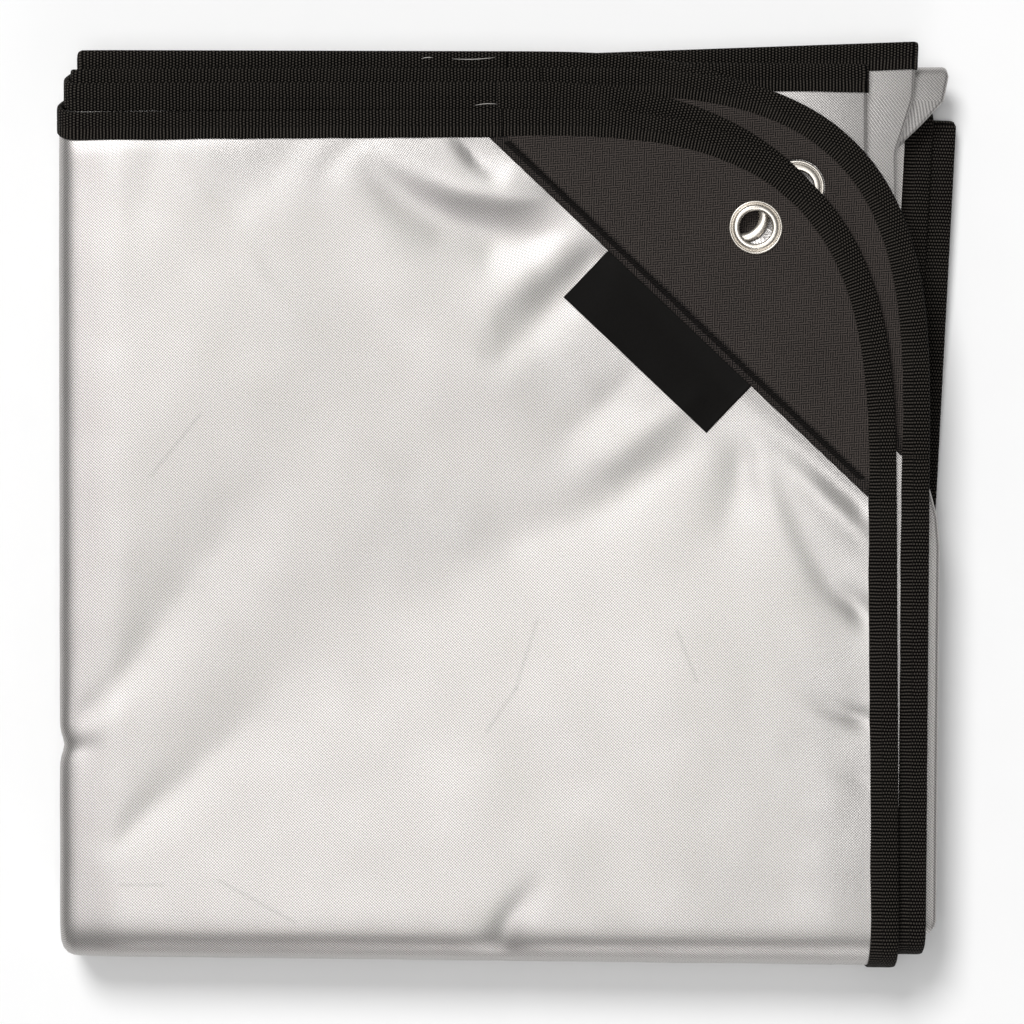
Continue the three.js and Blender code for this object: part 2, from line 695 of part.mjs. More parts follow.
// The origin is the middle of the packet's floor
const box = new THREE.Box3().setFromObject(group);
const centre = box.getCenter(new THREE.Vector3());
group.children.forEach((node) => node.geometry.translate(-centre.x, -centre.y, -box.min.z));

export default group;
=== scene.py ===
"""A folded drum set cover of silver coated cloth, with its bound edges, corner patches, eyelets and label."""

import json
import math

import bpy
import numpy as np
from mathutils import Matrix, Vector, noise

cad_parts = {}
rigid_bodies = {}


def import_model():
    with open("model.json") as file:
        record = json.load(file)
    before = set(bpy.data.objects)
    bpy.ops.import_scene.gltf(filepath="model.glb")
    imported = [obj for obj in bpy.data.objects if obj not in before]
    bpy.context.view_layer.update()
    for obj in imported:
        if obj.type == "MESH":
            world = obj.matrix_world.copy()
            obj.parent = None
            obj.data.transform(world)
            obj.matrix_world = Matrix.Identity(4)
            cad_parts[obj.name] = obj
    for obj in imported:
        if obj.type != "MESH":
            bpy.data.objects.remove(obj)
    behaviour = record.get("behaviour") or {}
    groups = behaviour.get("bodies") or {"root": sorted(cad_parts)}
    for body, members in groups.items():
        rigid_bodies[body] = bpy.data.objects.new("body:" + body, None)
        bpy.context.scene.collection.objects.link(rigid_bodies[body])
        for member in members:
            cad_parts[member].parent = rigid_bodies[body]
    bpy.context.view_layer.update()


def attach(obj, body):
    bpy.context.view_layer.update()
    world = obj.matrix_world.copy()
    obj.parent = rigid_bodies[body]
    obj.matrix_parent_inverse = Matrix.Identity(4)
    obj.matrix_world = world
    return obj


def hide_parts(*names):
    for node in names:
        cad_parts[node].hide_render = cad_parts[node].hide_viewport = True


bl_info = {
    "name": "Folded drum set cover",
    "version": (1, 0, 0),
    "blender": (4, 5, 0),
    "location": "View3D > Sidebar > Cover",
    "description": "Dresses the folded cover: cloth, binding, patches, eyelets, label and stitching",
    "category": "Object",
}

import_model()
BODY = "root"

# Sizes of the folded packet and of what is sewn on it, in millimetres
MM = 0.001
TINY = 1e-6
PITCH = 3.0
HEIGHT = 16 * PITCH
CLEARANCE = 0.3
TAPE = 0.55
TAPE_WIDTH = 12.7
SOLID_FACE = 0.5
SOLID_TAPE_FACE = 1.35
CORNER_REACH = 176.0
LEFT_AXIS = -192.4
BOTTOM_AXIS = -184.7
SEAM_LEGS = {"left": 181.8, "right": 175.2}
EYELET_HOLE = 7.4
EYELET_RIM = 12.15
LABEL = {
    "along": 89.0,
    "across": 29.0,
    "start": 74.0,
    "tuck": 0.04,  # share of its width that lies in the seam
    "gap": 0.12,
    "thick": 0.35,
    "hem": 0.25,
    "hem_edge": (1.6, 2.4),
    "cells": (80, 30),
}
# How the label's free edge lifts: height, turn along it and its start as angles, and power across it
LABEL_BOWS = ((0.35, math.pi * 1.3, 0.4, 1), (0.2, 9.0, 1.0, 2))
RADII = (PITCH / 2, PITCH, 2 * PITCH, 4 * PITCH)
NOSE_POWER = 3  # the two folds under are squarer than a circle's half, whose outline has a power of 2
SINK = {"to": 110.0, "from": 158.0, "depth": 24.0}
BOTTOM_LEAN = {"slope": -0.011, "level": -17.0, "reach": 200.0}  # the bottom fold falls to the right
CENTRE = (0.80, -0.207)  # middle of the packet's box in the fold's own drawing
GAP = 0.2  # between the cloth and what is sewn on it
TAPE_IN = CLEARANCE + TAPE - TAPE_WIDTH  # the tape's inner edge, as a distance out from the cloth's edge
SEAM_INSET = CLEARANCE - TAPE_IN  # from the square corner's line to the tape's inner edge
SEAM_SLANT = math.atan2(SEAM_LEGS["right"] - SEAM_INSET, SEAM_LEGS["left"] - SEAM_INSET)
HEM = {"width": 6.1, "height": 0.6, "across": (math.sin(SEAM_SLANT), math.cos(SEAM_SLANT)), "ends": 6.0}

# A layer is named by its side of the four folds: a, half across; b, half along; c, side under; d, end under.
# Bound right edges by (a, b, d): x at the upper end and at the bottom fold
RIGHT_EDGES = {
    (0, 0, 0): (173.3, 175.3),
    (1, 0, 0): (171.5, 172.5),
    (1, 1, 0): (191.2, 188.0),
    (0, 1, 0): (175.5, 174.0),
    (0, 0, 1): (193.0, 173.5),
    (1, 0, 1): (203.0, 178.0),
    (1, 1, 1): (205.0, 186.0),
    (0, 1, 1): (194.4, 174.0),
}
# Right folds by (b, d): heights from the bottom fold up, and x there
RIGHT_FOLDS = {
    (1, 0): ((BOTTOM_AXIS, -10, 20, 125, 200), (192.5, 194, 186, 161, 161)),
    (0, 0): ((BOTTOM_AXIS, 100, 160, 185, 210), (184, 176, 175, 183, 184)),
    (0, 1): ((BOTTOM_AXIS, 10, 45, 135, 166, 178, 196), (186, 188, 181, 174, 175, 196, 199.5)),
    (1, 1): ((BOTTOM_AXIS, 45, 135, 166, 178, 196), (170, 171, 171, 172, 193, 197.5)),
}
# Bound upper edges by (a, b, c): y at the left fold and at the right end
TOP_EDGES = {
    (0, 0, 0): (175.8, 178.4),
    (1, 0, 0): (189.0, 190.4),
    (1, 1, 0): (195.6, 197.0),
    (0, 1, 0): (204.6, 203.6),
    (0, 1, 1): (202.0, 198.5),
    (1, 1, 1): (196.5, 198.5),
    (1, 0, 1): (196.0, 209.4),
    (0, 0, 1): (185.0, 209.4),
}
# Upper folds by (a, c): y of the fold's centre line at the left and at the right
TOP_FOLDS = {
    (0, 0): (187.0, 176.0),
    (1, 0): (186.0, 173.4),
    (0, 1): (191.0, 195.0),
    (1, 1): (190.5, 195.0),
}
# The four rounded corners from the top down: the curve's power, where 2 would be a circle's quarter, and how
# far the eyelet's axis lies inside the square corner of the bound edges
CORNERS = {
    (0, 0): {"power": 3.05, "inset": (62.0, 53.5)},
    (1, 0): {"power": 2.65, "inset": (66.0, 60.4)},
    (1, 1): {"power": 3.2, "inset": (60.1, 53.7)},
    (0, 1): {"power": 3.05, "inset": (62.0, 53.5)},
}

# Creases of the top: a path of (x, y, half width, height), troughs below zero and ridges above
CREASES = {
    "diagonal_valley": (
        (-185, -168, 100, -3.4), (-90, -85, 110, -5.6), (0, -20, 108, -5.8), (90, 30, 85, -3.4),
    ),
    "upper_left_rise": (
        (-200, 20, 75, 0.6), (-195, 110, 85, 1.6), (-170, 185, 90, 2.0), (-80, 190, 70, 0.8),
    ),
    "pinch_to_middle": (
        (-198, -104, 3, -0.8), (-188, -93, 6, -1.2), (-175, -80, 11, -1.3), (-150, -46, 18, -1.3),
        (-127, -10, 23, -1.0), (-105, 15, 28, -0.7), (-71, 49, 32, -0.4), (-26, 100, 36, 0.0),
    ),
    "lower_left_to_label": (
        (-184, -163, 5, 0.0), (-172, -150, 7, -0.8), (-156, -134, 9, -1.0), (-130, -111, 13, -0.8),
        (-111, -89, 17, -0.6), (-94, -66, 20, -0.3), (-49, -34, 20, -0.3), (-10, -21, 17, -0.5),
        (27, -7, 14, -0.9), (56, 7, 11, -1.1), (80, 24, 8, -0.6),
    ),
    "under_top_tape": (
        (-60, 150, 7, -0.5), (-48, 138, 10, -1.3), (-29, 126, 12, -2.0), (-7, 120, 13, -2.3),
        (10, 120, 11, -2.0), (22, 124, 8, -0.8),
    ),
    "swell_under_top_tape": (
        (-52, 155, 7, 0.5), (-38, 149, 8, 1.1), (-20, 142, 8, 1.8), (2, 139, 8, 1.9), (14, 140, 6, 1.2),
    ),
    "tape_pucker_left": ((-22, 166, 3.4, -1.8), (-14, 156, 3.6, -1.4), (-6, 149, 3.6, -0.5)),
    "tape_pucker_right": ((-13, 166, 3, -1.5), (-2, 153, 3, -0.6)),
    "hook_by_label": (
        (40, 111, 7, -1.5), (32, 102, 9, -1.8), (22, 92, 11, -1.7), (10, 80, 12, -1.3), (-2, 71, 12, -0.7),
        (-14, 71, 10, 0.0),
    ),
    "swell_above_hook": (
        (32, 124, 7, 0.4), (20, 112, 8, 0.7), (6, 99, 9, 0.8), (-8, 88, 9, 0.5), (-18, 84, 8, 0.1),
    ),
    "swell_below_hook": ((-24, 62, 18, 0.5), (0, 58, 16, 0.8), (14, 66, 12, 0.3)),
    "swell_by_label": (
        (84, 47, 6, 0.6), (64, 34, 8, 0.9), (44, 20, 10, 0.7), (24, 6, 12, 0.3), (0, -8, 14, 0.0),
    ),
    "trough_by_label": ((58, 60, 6, -0.3), (46, 48, 8, -0.8), (28, 32, 10, -0.5), (10, 18, 12, -0.1)),
    "below_label": (
        (109, 32, 5, -0.3), (107, 20, 8, -1.1), (103, 5, 11, -1.0), (95, -18, 15, -0.5), (83, -40, 19, 0.0),
    ),
    "swell_by_seam": ((109, 33, 6, 0.6), (114, 15, 7, 1.0), (122, -5, 8, 0.8), (134, -28, 8, 0.3)),
    "along_seam_end": ((126, 32, 5, -0.3), (135, 25, 6, -1.0), (151, 9, 6, -1.6), (162, 1, 6, -2.0)),
    "swell_at_seam_end": ((119, 25, 7, 0.4), (136, 9, 8, 1.4), (152, -7, 8, 1.9), (166, -20, 8, 1.9)),
    "right_pucker_high": ((124, 4, 8, -0.2), (134, -18, 8, -0.6), (147, -38, 7, -1.0), (166, -52, 6, -2.2)),
    "right_pucker_middle": ((133, -85, 5, -0.2), (148, -92, 4.5, -0.9), (166, -98, 4, -2.2)),
    "right_pucker_low": ((150, -118, 6, -0.2), (165, -125, 5, -0.7)),
    "bottom_pucker": ((14, -170, 5, -0.2), (7, -179, 6, -1.0), (0.5, -188, 7, -1.5), (-2, -198, 8, -1.8)),
    "faint_middle": ((2, -80, 11, -0.1), (8, -108, 14, -0.5), (30, -132, 18, -0.5), (41, -145, 18, -0.2)),
    "faint_low_right": ((116, -160, 8, -0.1), (128, -172, 8, -0.3), (138, -183, 8, -0.2)),
    "swell_right_low": ((145, -136, 18, 0.5), (145, -178, 18, 0.6)),
    "faint_top_left": (
        (-90, 168, 9, -0.7), (-104, 152, 11, -0.5), (-120, 136, 14, -0.3), (-141, 108, 18, -0.2),
    ),
    "faint_top": ((-66, 168, 6, -1.0), (-82, 151, 7, -0.4)),
    "faint_far_left": ((-156, 170, 9, -0.4), (-165, 140, 12, -0.4), (-168, 90, 14, -0.2)),
    "left_dent": ((-202, -111.5, 4, -1.6), (-190, -110, 4, -0.5), (-182, -109, 4, 0.0)),
}
DENT = {"y": -110.0, "reach": 5.0, "depth": 1.8, "from": 188.0, "to": 202.0}  # pinch in the left fold
LEFT_ROLL = {"from": -174.0, "to": -203.0, "height": -2.6}  # the top falls a little towards its left fold
# Fine creases that folding has left in the top, painted into its colour as lines of shade: from (x, y) to (x,
# y)
SHADED_CREASE_LINES = (
    ((-161.1, 12.6), (-138.6, 40.5)),
    ((-9.5, -102.6), (3.6, -83.3)),
    ((3.6, -83.3), (13.1, -52.2)),
    ((76.5, -57.6), (85.1, -80.1)),
    ((-175.1, -171.9), (-155.7, -171.9)),
    ((-130.1, -170.1), (-96.3, -188.6)),
)
RIPPLES = ((31.0, 0.32), (13.0, 0.12))  # length and height of the cloth's small unevenness
RIPPLES_FADE = (85, 105)  # from where to where they fade towards the patch, as x + y
CREASE_POWER = 1.7  # how a crease's sides fall off, where 2 would be a bell curve
# Where tape and patch hold the cloth flat: from where to where, and the share of the creases that they take
HELD = {"right": (156, 170, 0.75), "top": (158, 170, 0.8), "patch": (147, 174, 0.85)}


def property_length(name, description, default):
    return bpy.props.FloatProperty(
        name=name, description=description, default=default, unit="LENGTH", precision=5, min=0
    )


def property_colour(name, description, default):
    return bpy.props.FloatVectorProperty(
        name=name, description=description, default=default, subtype="COLOR", size=3, min=0, max=1
    )


class CoverSizes(bpy.types.PropertyGroup):
    """Sizes that a user may change without touching the fold."""

    cloth: property_length("Cloth", "Thickness of the coated cloth", 0.0005)
    tape: property_length("Tape", "Thickness of one leg of the binding", 0.00085)
    patch: property_length("Patch", "Thickness of a corner patch", 0.0008)
    weave: property_length("Weave", "From thread to thread of the silver cloth", 0.0013)
    canvas: property_length("Canvas", "From thread to thread of the corner patches", 0.00105)
    rib: property_length("Rib", "From rib to rib of the binding tape", 0.0015)
    stitch: property_length("Stitch", "From stitch to stitch", 0.0031)
    creasing: bpy.props.FloatProperty(
        name="Creasing", description="How strongly the top is creased", default=1.25, min=0, max=2
    )


class CoverColours(bpy.types.PropertyGroup):
    """Colours of the cover's materials."""

    silver: property_colour("Silver cloth", "Coated face of the cloth", (0.44, 0.423, 0.411))
    webbing: property_colour("Webbing", "Ribs of the binding tape", (0.064, 0.056, 0.048))
    canvas: property_colour("Canvas", "Corner patches", (0.030, 0.0243, 0.0215))
    nickel: property_colour("Nickel", "Eyelets", (0.60, 0.56, 0.505))
    satin: property_colour("Satin", "Label", (0.005, 0.0046, 0.0042))
    thread: property_colour("Thread", "Sewing thread on the tape", (0.010, 0.009, 0.008))
    seam_thread: property_colour("Seam thread", "Thread along the diagonal seam", (0.006, 0.005, 0.0045))
    pale_thread: property_colour("Pale thread", "Thread ends at the tape's joins", (0.55, 0.53, 0.5))


def smooth(value, low, high):
    share = np.clip((value - low) / (high - low), 0, 1)
    return share * share * (3 - 2 * share)


def lerp(start, end, share):
    return start + (end - start) * share


def even_steps(share, power):
    """Spreads steps of an angle so that they are nearly even along a curve squarer than a circle."""
    return share**power / (share**power + (1 - share) ** power)


def squarer(value):
    """A cosine or sine for a fold that is squarer than a circle."""
    return np.sign(value) * np.abs(value) ** (2 / NOSE_POWER)


class Stations:
    """Places across or along the cloth: how far over a layer, its folds' angles, and the layers' shares."""

    def __init__(self, over, half, under, shares):
        self.over = np.asarray(over, float)
        self.half = np.broadcast_to(np.asarray(half, float), self.over.shape)
        self.under = np.broadcast_to(np.asarray(under, float), self.over.shape)
        self.shares = {key: np.broadcast_to(share, self.over.shape) for key, share in shares.items()}

    @classmethod
    def flat(cls, first, second, over):
        return cls(over, first * math.pi, second * math.pi, {(first, second): np.ones(len(over))})

    @classmethod
    def turn_under(cls, first, share):
        near = np.minimum(2 * share, 2 - 2 * share)
        quarter = (math.pi / 2) * even_steps(near, NOSE_POWER / 2)
        angle = np.where(share < 0.5, quarter, math.pi - quarter)
        blend = smooth(angle, 0, math.pi)
        shares = {(first, 0): 1 - blend, (first, 1): blend}
        return cls(np.zeros(len(share)), first * math.pi, angle, shares)

    @classmethod
    def half_fold(cls, share):
        return cls(np.ones(len(share)), share * math.pi, math.pi, {(0, 1): 1 - share, (1, 1): share})

    @classmethod
    def join(cls, parts):
        """One list from stretches that meet, with each meeting place once."""
        kept = [slice(0 if i == 0 else 1, None) for i in range(len(parts))]
        keys = sorted({key for part in parts for key in part.shares})
        none = [np.zeros(len(part.over)) for part in parts]
        shares = {}
        for key in keys:
            pieces = [part.shares.get(key, zero)[k] for part, zero, k in zip(parts, none, kept)]
            shares[key] = np.concatenate(pieces)
        over = np.concatenate([part.over[k] for part, k in zip(parts, kept)])
        half = np.concatenate([part.half[k] for part, k in zip(parts, kept)])
        under = np.concatenate([part.under[k] for part, k in zip(parts, kept)])
        return cls(over, half, under, shares)

    def shifted(self, over):
        return Stations(over, self.half, self.under, self.shares)

    def free(self):
        """How much of each station lies in layers that end in a bound edge."""
        return sum(share for (_, second), share in self.shares.items() if second == 0)


def whole_cloth(counts, ends=(1.0, 1.0)):
    """Stations from one free edge of the cloth to the other, with counts for its seven stretches. The two
    ends are shares of their layers."""
    steps = [np.linspace(0, 1, count + 1) for count in counts]
    return Stations.join(
        (
            Stations.flat(0, 0, (1 - steps[0]) * ends[0]),
            Stations.turn_under(0, steps[1]),
            Stations.flat(0, 1, steps[2]),
            Stations.half_fold(steps[3]),
            Stations.flat(1, 1, 1 - steps[4]),
            Stations.turn_under(1, 1 - steps[5]),
            Stations.flat(1, 0, steps[6] * ends[1]),
        )
    )


def curve_start(end):
    """Where a rounded corner starts on a line that would end at the square corner."""
    return end - CORNER_REACH


def square_corner(a, b):
    return RIGHT_EDGES[a, b, 0][0], TOP_EDGES[a, b, 0][1]


def corner_drop(past, power):
    """How far a rounded corner falls short of the square corner's line."""
    share = np.clip(past / CORNER_REACH, 0, 1)
    return CORNER_REACH * (1 - (1 - share**power) ** (1 / power))


def corner_point(a, b, angle, outward=0.0):
    """A point of a rounded corner's curve, moved out along the curve's own direction."""
    power = CORNERS[a, b]["power"]
    share_x = np.clip(np.cos(angle), 0, 1) ** (2 / power)
    share_y = np.clip(np.sin(angle), 0, 1) ** (2 / power)
    normal_x = share_x ** (power - 1)
    normal_y = share_y ** (power - 1)
    length = np.hypot(normal_x, normal_y)
    right, top = square_corner(a, b)
    x = right - CORNER_REACH * (1 - share_x) + outward * normal_x / length
    y = top - CORNER_REACH * (1 - share_y) + outward * normal_y / length
    return x, y


def lean(a, b, x, y):
    """A bound corner's edges lean a little, as the cloth was folded."""
    upper, lower = RIGHT_EDGES[a, b, 0]
    left, right = TOP_EDGES[a, b, 0]
    across = (x - LEFT_AXIS) / (upper - LEFT_AXIS)
    along = (y - BOTTOM_AXIS) / (right - BOTTOM_AXIS)
    return x + (lower - upper) * (1 - along) * across, y + (left - right) * (1 - across) * along


def layer_point(a, b, c, d, f, g):
    """A point of one layer before the folds' roundness, f from left to right and g from bottom to top."""
    if c == 0 and d == 0:
        right, top = square_corner(a, b)
        middle_x, middle_y = corner_point(a, b, math.pi / 4)
        x = lerp(LEFT_AXIS, middle_x, f)
        y = lerp(BOTTOM_AXIS, middle_y, g)
        power = CORNERS[a, b]["power"]
        edge_x = right - corner_drop(y - curve_start(top), power)
        edge_y = top - corner_drop(x - curve_start(right), power)
        return lean(a, b, lerp(LEFT_AXIS, edge_x, f), lerp(BOTTOM_AXIS, edge_y, g))
    left, right = TOP_EDGES[a, b, c] if d == 0 else TOP_FOLDS[a, c]
    y = lerp(BOTTOM_AXIS, lerp(left, right, f), g)
    if c == 0:
        upper, lower = RIGHT_EDGES[a, b, d]
        return lerp(LEFT_AXIS, lerp(lower, upper, g), f), y
    heights, places = RIGHT_FOLDS[b, d]
    edge = np.interp(lerp(BOTTOM_AXIS, right, g), heights, places)
    return lerp(LEFT_AXIS, edge, f), y


def spread(us, vs):
    """The cloth's middle at every pair of stations, before the folds' roundness."""
    f, g = us.over[:, None], vs.over[None, :]
    x = np.zeros((len(us.over), len(vs.over)))
    y = np.zeros_like(x)
    for (a, c), share_u in us.shares.items():
        for (b, d), share_v in vs.shares.items():
            share = share_u[:, None] * share_v[None, :]
            if share.any():
                layer_x, layer_y = layer_point(a, b, c, d, f, g)
                x += share * layer_x
                y += share * layer_y
    return x, y


def crease_height(path, x, y):
    """Height of one crease at every place: that of the path's nearest point, fading with the distance."""
    best = np.full(x.shape, np.inf)
    width = np.ones(x.shape)
    height = np.zeros(x.shape)
    for start, end in zip(path, path[1:]):
        run_x, run_y = end[0] - start[0], end[1] - start[1]
        share = ((x - start[0]) * run_x + (y - start[1]) * run_y) / (run_x**2 + run_y**2)
        share = np.clip(share, 0, 1)
        away = np.hypot(x - start[0] - share * run_x, y - start[1] - share * run_y)
        nearer = away < best
        best = np.where(nearer, away, best)
        width = np.where(nearer, lerp(start[2], end[2], share), width)
        height = np.where(nearer, lerp(start[3], end[3], share), height)
    return height * np.exp(-((best / width) ** CREASE_POWER))


def left_over(name, place):
    """The share of the creases that one of the holding pieces leaves."""
    start, end, taken = HELD[name]
    return 1 - taken * smooth(place, start, end)


def calm(x, y):
    """The tape and the patch hold the cloth flat: nearly no creases there."""
    return left_over("right", x) * left_over("top", y) * left_over("patch", x + y)


def relief(x, y):
    """Height of the packet's unevenness at its top."""
    total = np.zeros(x.shape)
    for path in CREASES.values():
        total += crease_height(path, x, y)
    total = total * calm(x, y) * bpy.context.scene.cover_sizes.creasing
    return total + LEFT_ROLL["height"] * smooth(-x, -LEFT_ROLL["from"], -LEFT_ROLL["to"])


def ripple(x, y):
    """Small unevenness of the top layer alone."""
    flat_x, flat_y = x.ravel(), y.ravel()
    total = np.zeros(flat_x.shape)
    for length, height in RIPPLES:
        values = [noise.noise(Vector((px / length, py / length, length))) for px, py in zip(flat_x, flat_y)]
        total += height * np.array(values)
    return total.reshape(x.shape) * calm(x, y) * (1 - smooth(x + y, *RIPPLES_FADE))


def fold(half_u, half_v, under_u, under_v, x, y, w):
    """The four folds' roundness, then the packet's unevenness. w is the height over the cloth's middle."""
    half = RADII[0] + w
    h1 = half * np.cos(half_u)
    along = RADII[1] + h1
    h2 = along * np.cos(half_v)
    side = RADII[2] + h2
    h3 = side * squarer(np.cos(under_u))
    end = RADII[3] + h3
    z = end * squarer(np.cos(under_v)) + HEIGHT / 2
    px = x + half * np.sin(half_u) - side * squarer(np.sin(under_u))
    py = y + along * np.sin(half_v) - end * squarer(np.sin(under_v))
    dent = np.exp(-(((py - DENT["y"]) / DENT["reach"]) ** 2))
    px = px + DENT["depth"] * dent * smooth(-px, DENT["from"], DENT["to"])
    low = 1 - smooth(z, PITCH, SINK["depth"])
    sink = (SOLID_TAPE_FACE - SOLID_FACE) * low * (1 - smooth(px, SINK["to"], SINK["from"]))
    depth = z / HEIGHT
    z = z + relief(px, py) * depth**2 - (PITCH / 2 - SOLID_TAPE_FACE) - sink
    py = py + BOTTOM_LEAN["slope"] * (px - BOTTOM_LEAN["level"]) * smooth(-py, 0, BOTTOM_LEAN["reach"])
    return np.stack([px - CENTRE[0], py - CENTRE[1], z], axis=-1)


def fold_stations(us, vs, x, y, w):
    return fold(us.half[:, None], vs.half[None, :], us.under[:, None], vs.under[None, :], x, y, w)


def on_corner(a, b, x, y, w):
    """A point of a free corner's layer, at a place given before the corner's lean."""
    lean_x, lean_y = lean(a, b, x, y)
    return fold(a * math.pi, b * math.pi, 0.0, 0.0, lean_x, lean_y, w)


def eyelet_centre(a, b):
    right, top = square_corner(a, b)
    inset = CORNERS[a, b]["inset"]
    return right - inset[0], top - inset[1]


def add_piece(name, points, faces, material, slot, nodes=(), uv=None):
    """A mesh piece in the row's frame, smooth shaded, that rides on the packet."""
    mesh = bpy.data.meshes.new(name)
    mesh.from_pydata((np.asarray(points) * MM).tolist(), [], [tuple(map(int, face)) for face in faces])
    mesh.validate()
    mesh.polygons.foreach_set("use_smooth", np.ones(len(mesh.polygons), bool))
    if uv is not None:
        corner = np.zeros(len(mesh.loops), int)
        mesh.loops.foreach_get("vertex_index", corner)
        layer = mesh.uv_layers.new(name="flat")
        layer.uv.foreach_set("vector", np.asarray(uv, float)[corner].astype(np.float32).ravel())
    mesh.materials.append(material)
    mesh.update()
    piece = bpy.data.objects.new(name, mesh)
    bpy.context.scene.collection.objects.link(piece)
    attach(piece, BODY)
    if nodes:
        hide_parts(*nodes)
    return piece


def flip_if_inside_out(piece):
    """Turns a closed mesh's faces outwards."""
    mesh = piece.data
    total = 0.0
    points = [vertex.co for vertex in mesh.vertices]
    mesh.calc_loop_triangles()
    for triangle in mesh.loop_triangles:
        p, q, r = (points[i] for i in triangle.vertices)
        total += p.dot(q.cross(r))
    if total < 0:
        mesh.flip_normals()


def closed_sheet(low, high, kept):
    """Points and faces of a closed sheet between two grids of points, on the cells that are kept."""
    rows, columns = low.shape[:2]
    points = np.concatenate([low.reshape(-1, 3), high.reshape(-1, 3)])
    index = np.arange(rows * columns).reshape(rows, columns)
    top = rows * columns
    corners = np.stack([index[:-1, :-1], index[1:, :-1], index[1:, 1:], index[:-1, 1:]], axis=-1)
    chosen = corners[kept]
    faces = [*(chosen + top), *chosen[:, ::-1]]
    framed = np.pad(kept, 1)
    inside = framed[1:-1, 1:-1]
    sides = (
        (inside & ~framed[1:-1, :-2], 0, 1),
        (inside & ~framed[2:, 1:-1], 1, 2),
        (inside & ~framed[1:-1, 2:], 2, 3),
        (inside & ~framed[:-2, 1:-1], 3, 0),
    )
    for cells, start, end in sides:
        first, second = corners[cells][:, start], corners[cells][:, end]
        faces.extend(np.stack([first, second, second + top, first + top], axis=-1))
    used = np.unique(np.concatenate([np.ravel(face) for face in faces]))
    renumber = np.full(len(points), -1)
    renumber[used] = np.arange(len(used))
    return points[used], [renumber[face] for face in faces], used


def bore(x, y, kept, centre, radius, near):
    """Opens a round hole in a grid: drops the cells over it and moves its rim's points onto the circle."""
    away = np.hypot(x - centre[0], y - centre[1])
    inside = (away < radius) & near
    dropped = inside[:-1, :-1] | inside[1:, :-1] | inside[1:, 1:] | inside[:-1, 1:]
    kept &= ~dropped
    touched = np.zeros(x.shape, bool)
    for rows in (slice(None, -1), slice(1, None)):
        for columns in (slice(None, -1), slice(1, None)):
            touched[rows, columns] |= dropped
    rim = touched & ~inside & near
    scale = np.where(rim, radius / np.maximum(away, TINY), 1)
    on_rim = [start + (place - start) * scale for place, start in zip((x, y), centre)]
    return np.where(rim, on_rim[0], x), np.where(rim, on_rim[1], y)


class Value:
    """A number socket of a material. Python's operators add Math nodes."""

    def __init__(self, surface, socket):
        self.surface = surface
        self.socket = socket

    def __add__(self, other):
        return self.surface.math("ADD", self, other)

    def __sub__(self, other):
        return self.surface.math("SUBTRACT", self, other)

    def __rsub__(self, other):
        return self.surface.math("SUBTRACT", other, self)

    def __mul__(self, other):
        return self.surface.math("MULTIPLY", self, other)

    def __pow__(self, other):
        return self.surface.math("POWER", self, other)

    def __rpow__(self, other):
        return self.surface.math("POWER", other, self)

    def __abs__(self):
        return self.surface.math("ABSOLUTE", self)

    __radd__ = __add__
    __rmul__ = __mul__

    def sine(self):
        return self.surface.math("SINE", self)

    def clamp(self):
        return self.surface.math("MINIMUM", self.surface.math("MAXIMUM", self, 0.0), 1.0)

    def ramp(self, low, high):
        """0 below low, 1 above high, smooth between."""
        node = self.surface.node(
            "ShaderNodeMapRange",
            {"interpolation_type": "SMOOTHSTEP"},
            {"Value": self, "From Min": low, "From Max": high},
        )
        return Value(self.surface, node.outputs[0])


MIX_COLOURS = (6, 7)  # a Mix node's two sockets for colours
MIX_RESULT = 2  # and its output for a colour


class Surface:
    """A procedural material under construction."""

    def __init__(self, name):
        self.material = bpy.data.materials.new(name)
        self.material.use_nodes = True
        self.tree = self.material.node_tree
        self.tree.nodes.clear()

    def node(self, kind, settings=None, inputs=None):
        """Any node: its type, its settings, then the values or links of its sockets."""
        made = self.tree.nodes.new(kind)
        for name, value in (settings or {}).items():
            setattr(made, name, value)
        for name, value in (inputs or {}).items():
            socket = made.inputs[name]
            if isinstance(value, Value):
                self.tree.links.new(value.socket, socket)
            elif isinstance(value, bpy.types.NodeSocket):
                self.tree.links.new(value, socket)
            else:
                socket.default_value = value
        return made

    def math(self, operation, *values):
        """A Math node over numbers or values, in their order."""
        node = self.node("ShaderNodeMath", {"operation": operation}, dict(enumerate(values)))
        return Value(self, node.outputs[0])

    def flat(self):
        """The piece's own flat coordinates, in metres."""
        place = self.node("ShaderNodeUVMap", {"uv_map": "flat"}).outputs[0]
        parts = self.node("ShaderNodeSeparateXYZ", None, {0: place})
        return Value(self, parts.outputs[0]), Value(self, parts.outputs[1]), place

    def room(self):
        return self.node("ShaderNodeTexCoord").outputs["Object"]

    def noise(self, place, scale, detail=2.0, roughness=0.5):
        node = self.node(
            "ShaderNodeTexNoise",
            None,
            {"Vector": place, "Scale": scale, "Detail": detail, "Roughness": roughness},
        )
        return Value(self, node.outputs[0])

    def mix(self, factor, first, second):
        """A colour between two colours or colour sockets."""
        sockets = {0: factor, **dict(zip(MIX_COLOURS, (first, second)))}
        node = self.node("ShaderNodeMix", {"data_type": "RGBA"}, sockets)
        return node.outputs[MIX_RESULT]

    def bump(self, height, strength, distance):
        node = self.node(
            "ShaderNodeBump", None, {"Height": height, "Strength": strength, "Distance": distance}
        )
        return node.outputs[0]

    def finish(self, **sockets):
        """The surface's shader, with each named socket's value or link."""
        inputs = {name.replace("_", " "): value for name, value in sockets.items()}
        shader = self.node("ShaderNodeBsdfPrincipled", None, inputs)
        self.node("ShaderNodeOutputMaterial", None, {"Surface": shader.outputs[0]})
        return self.material
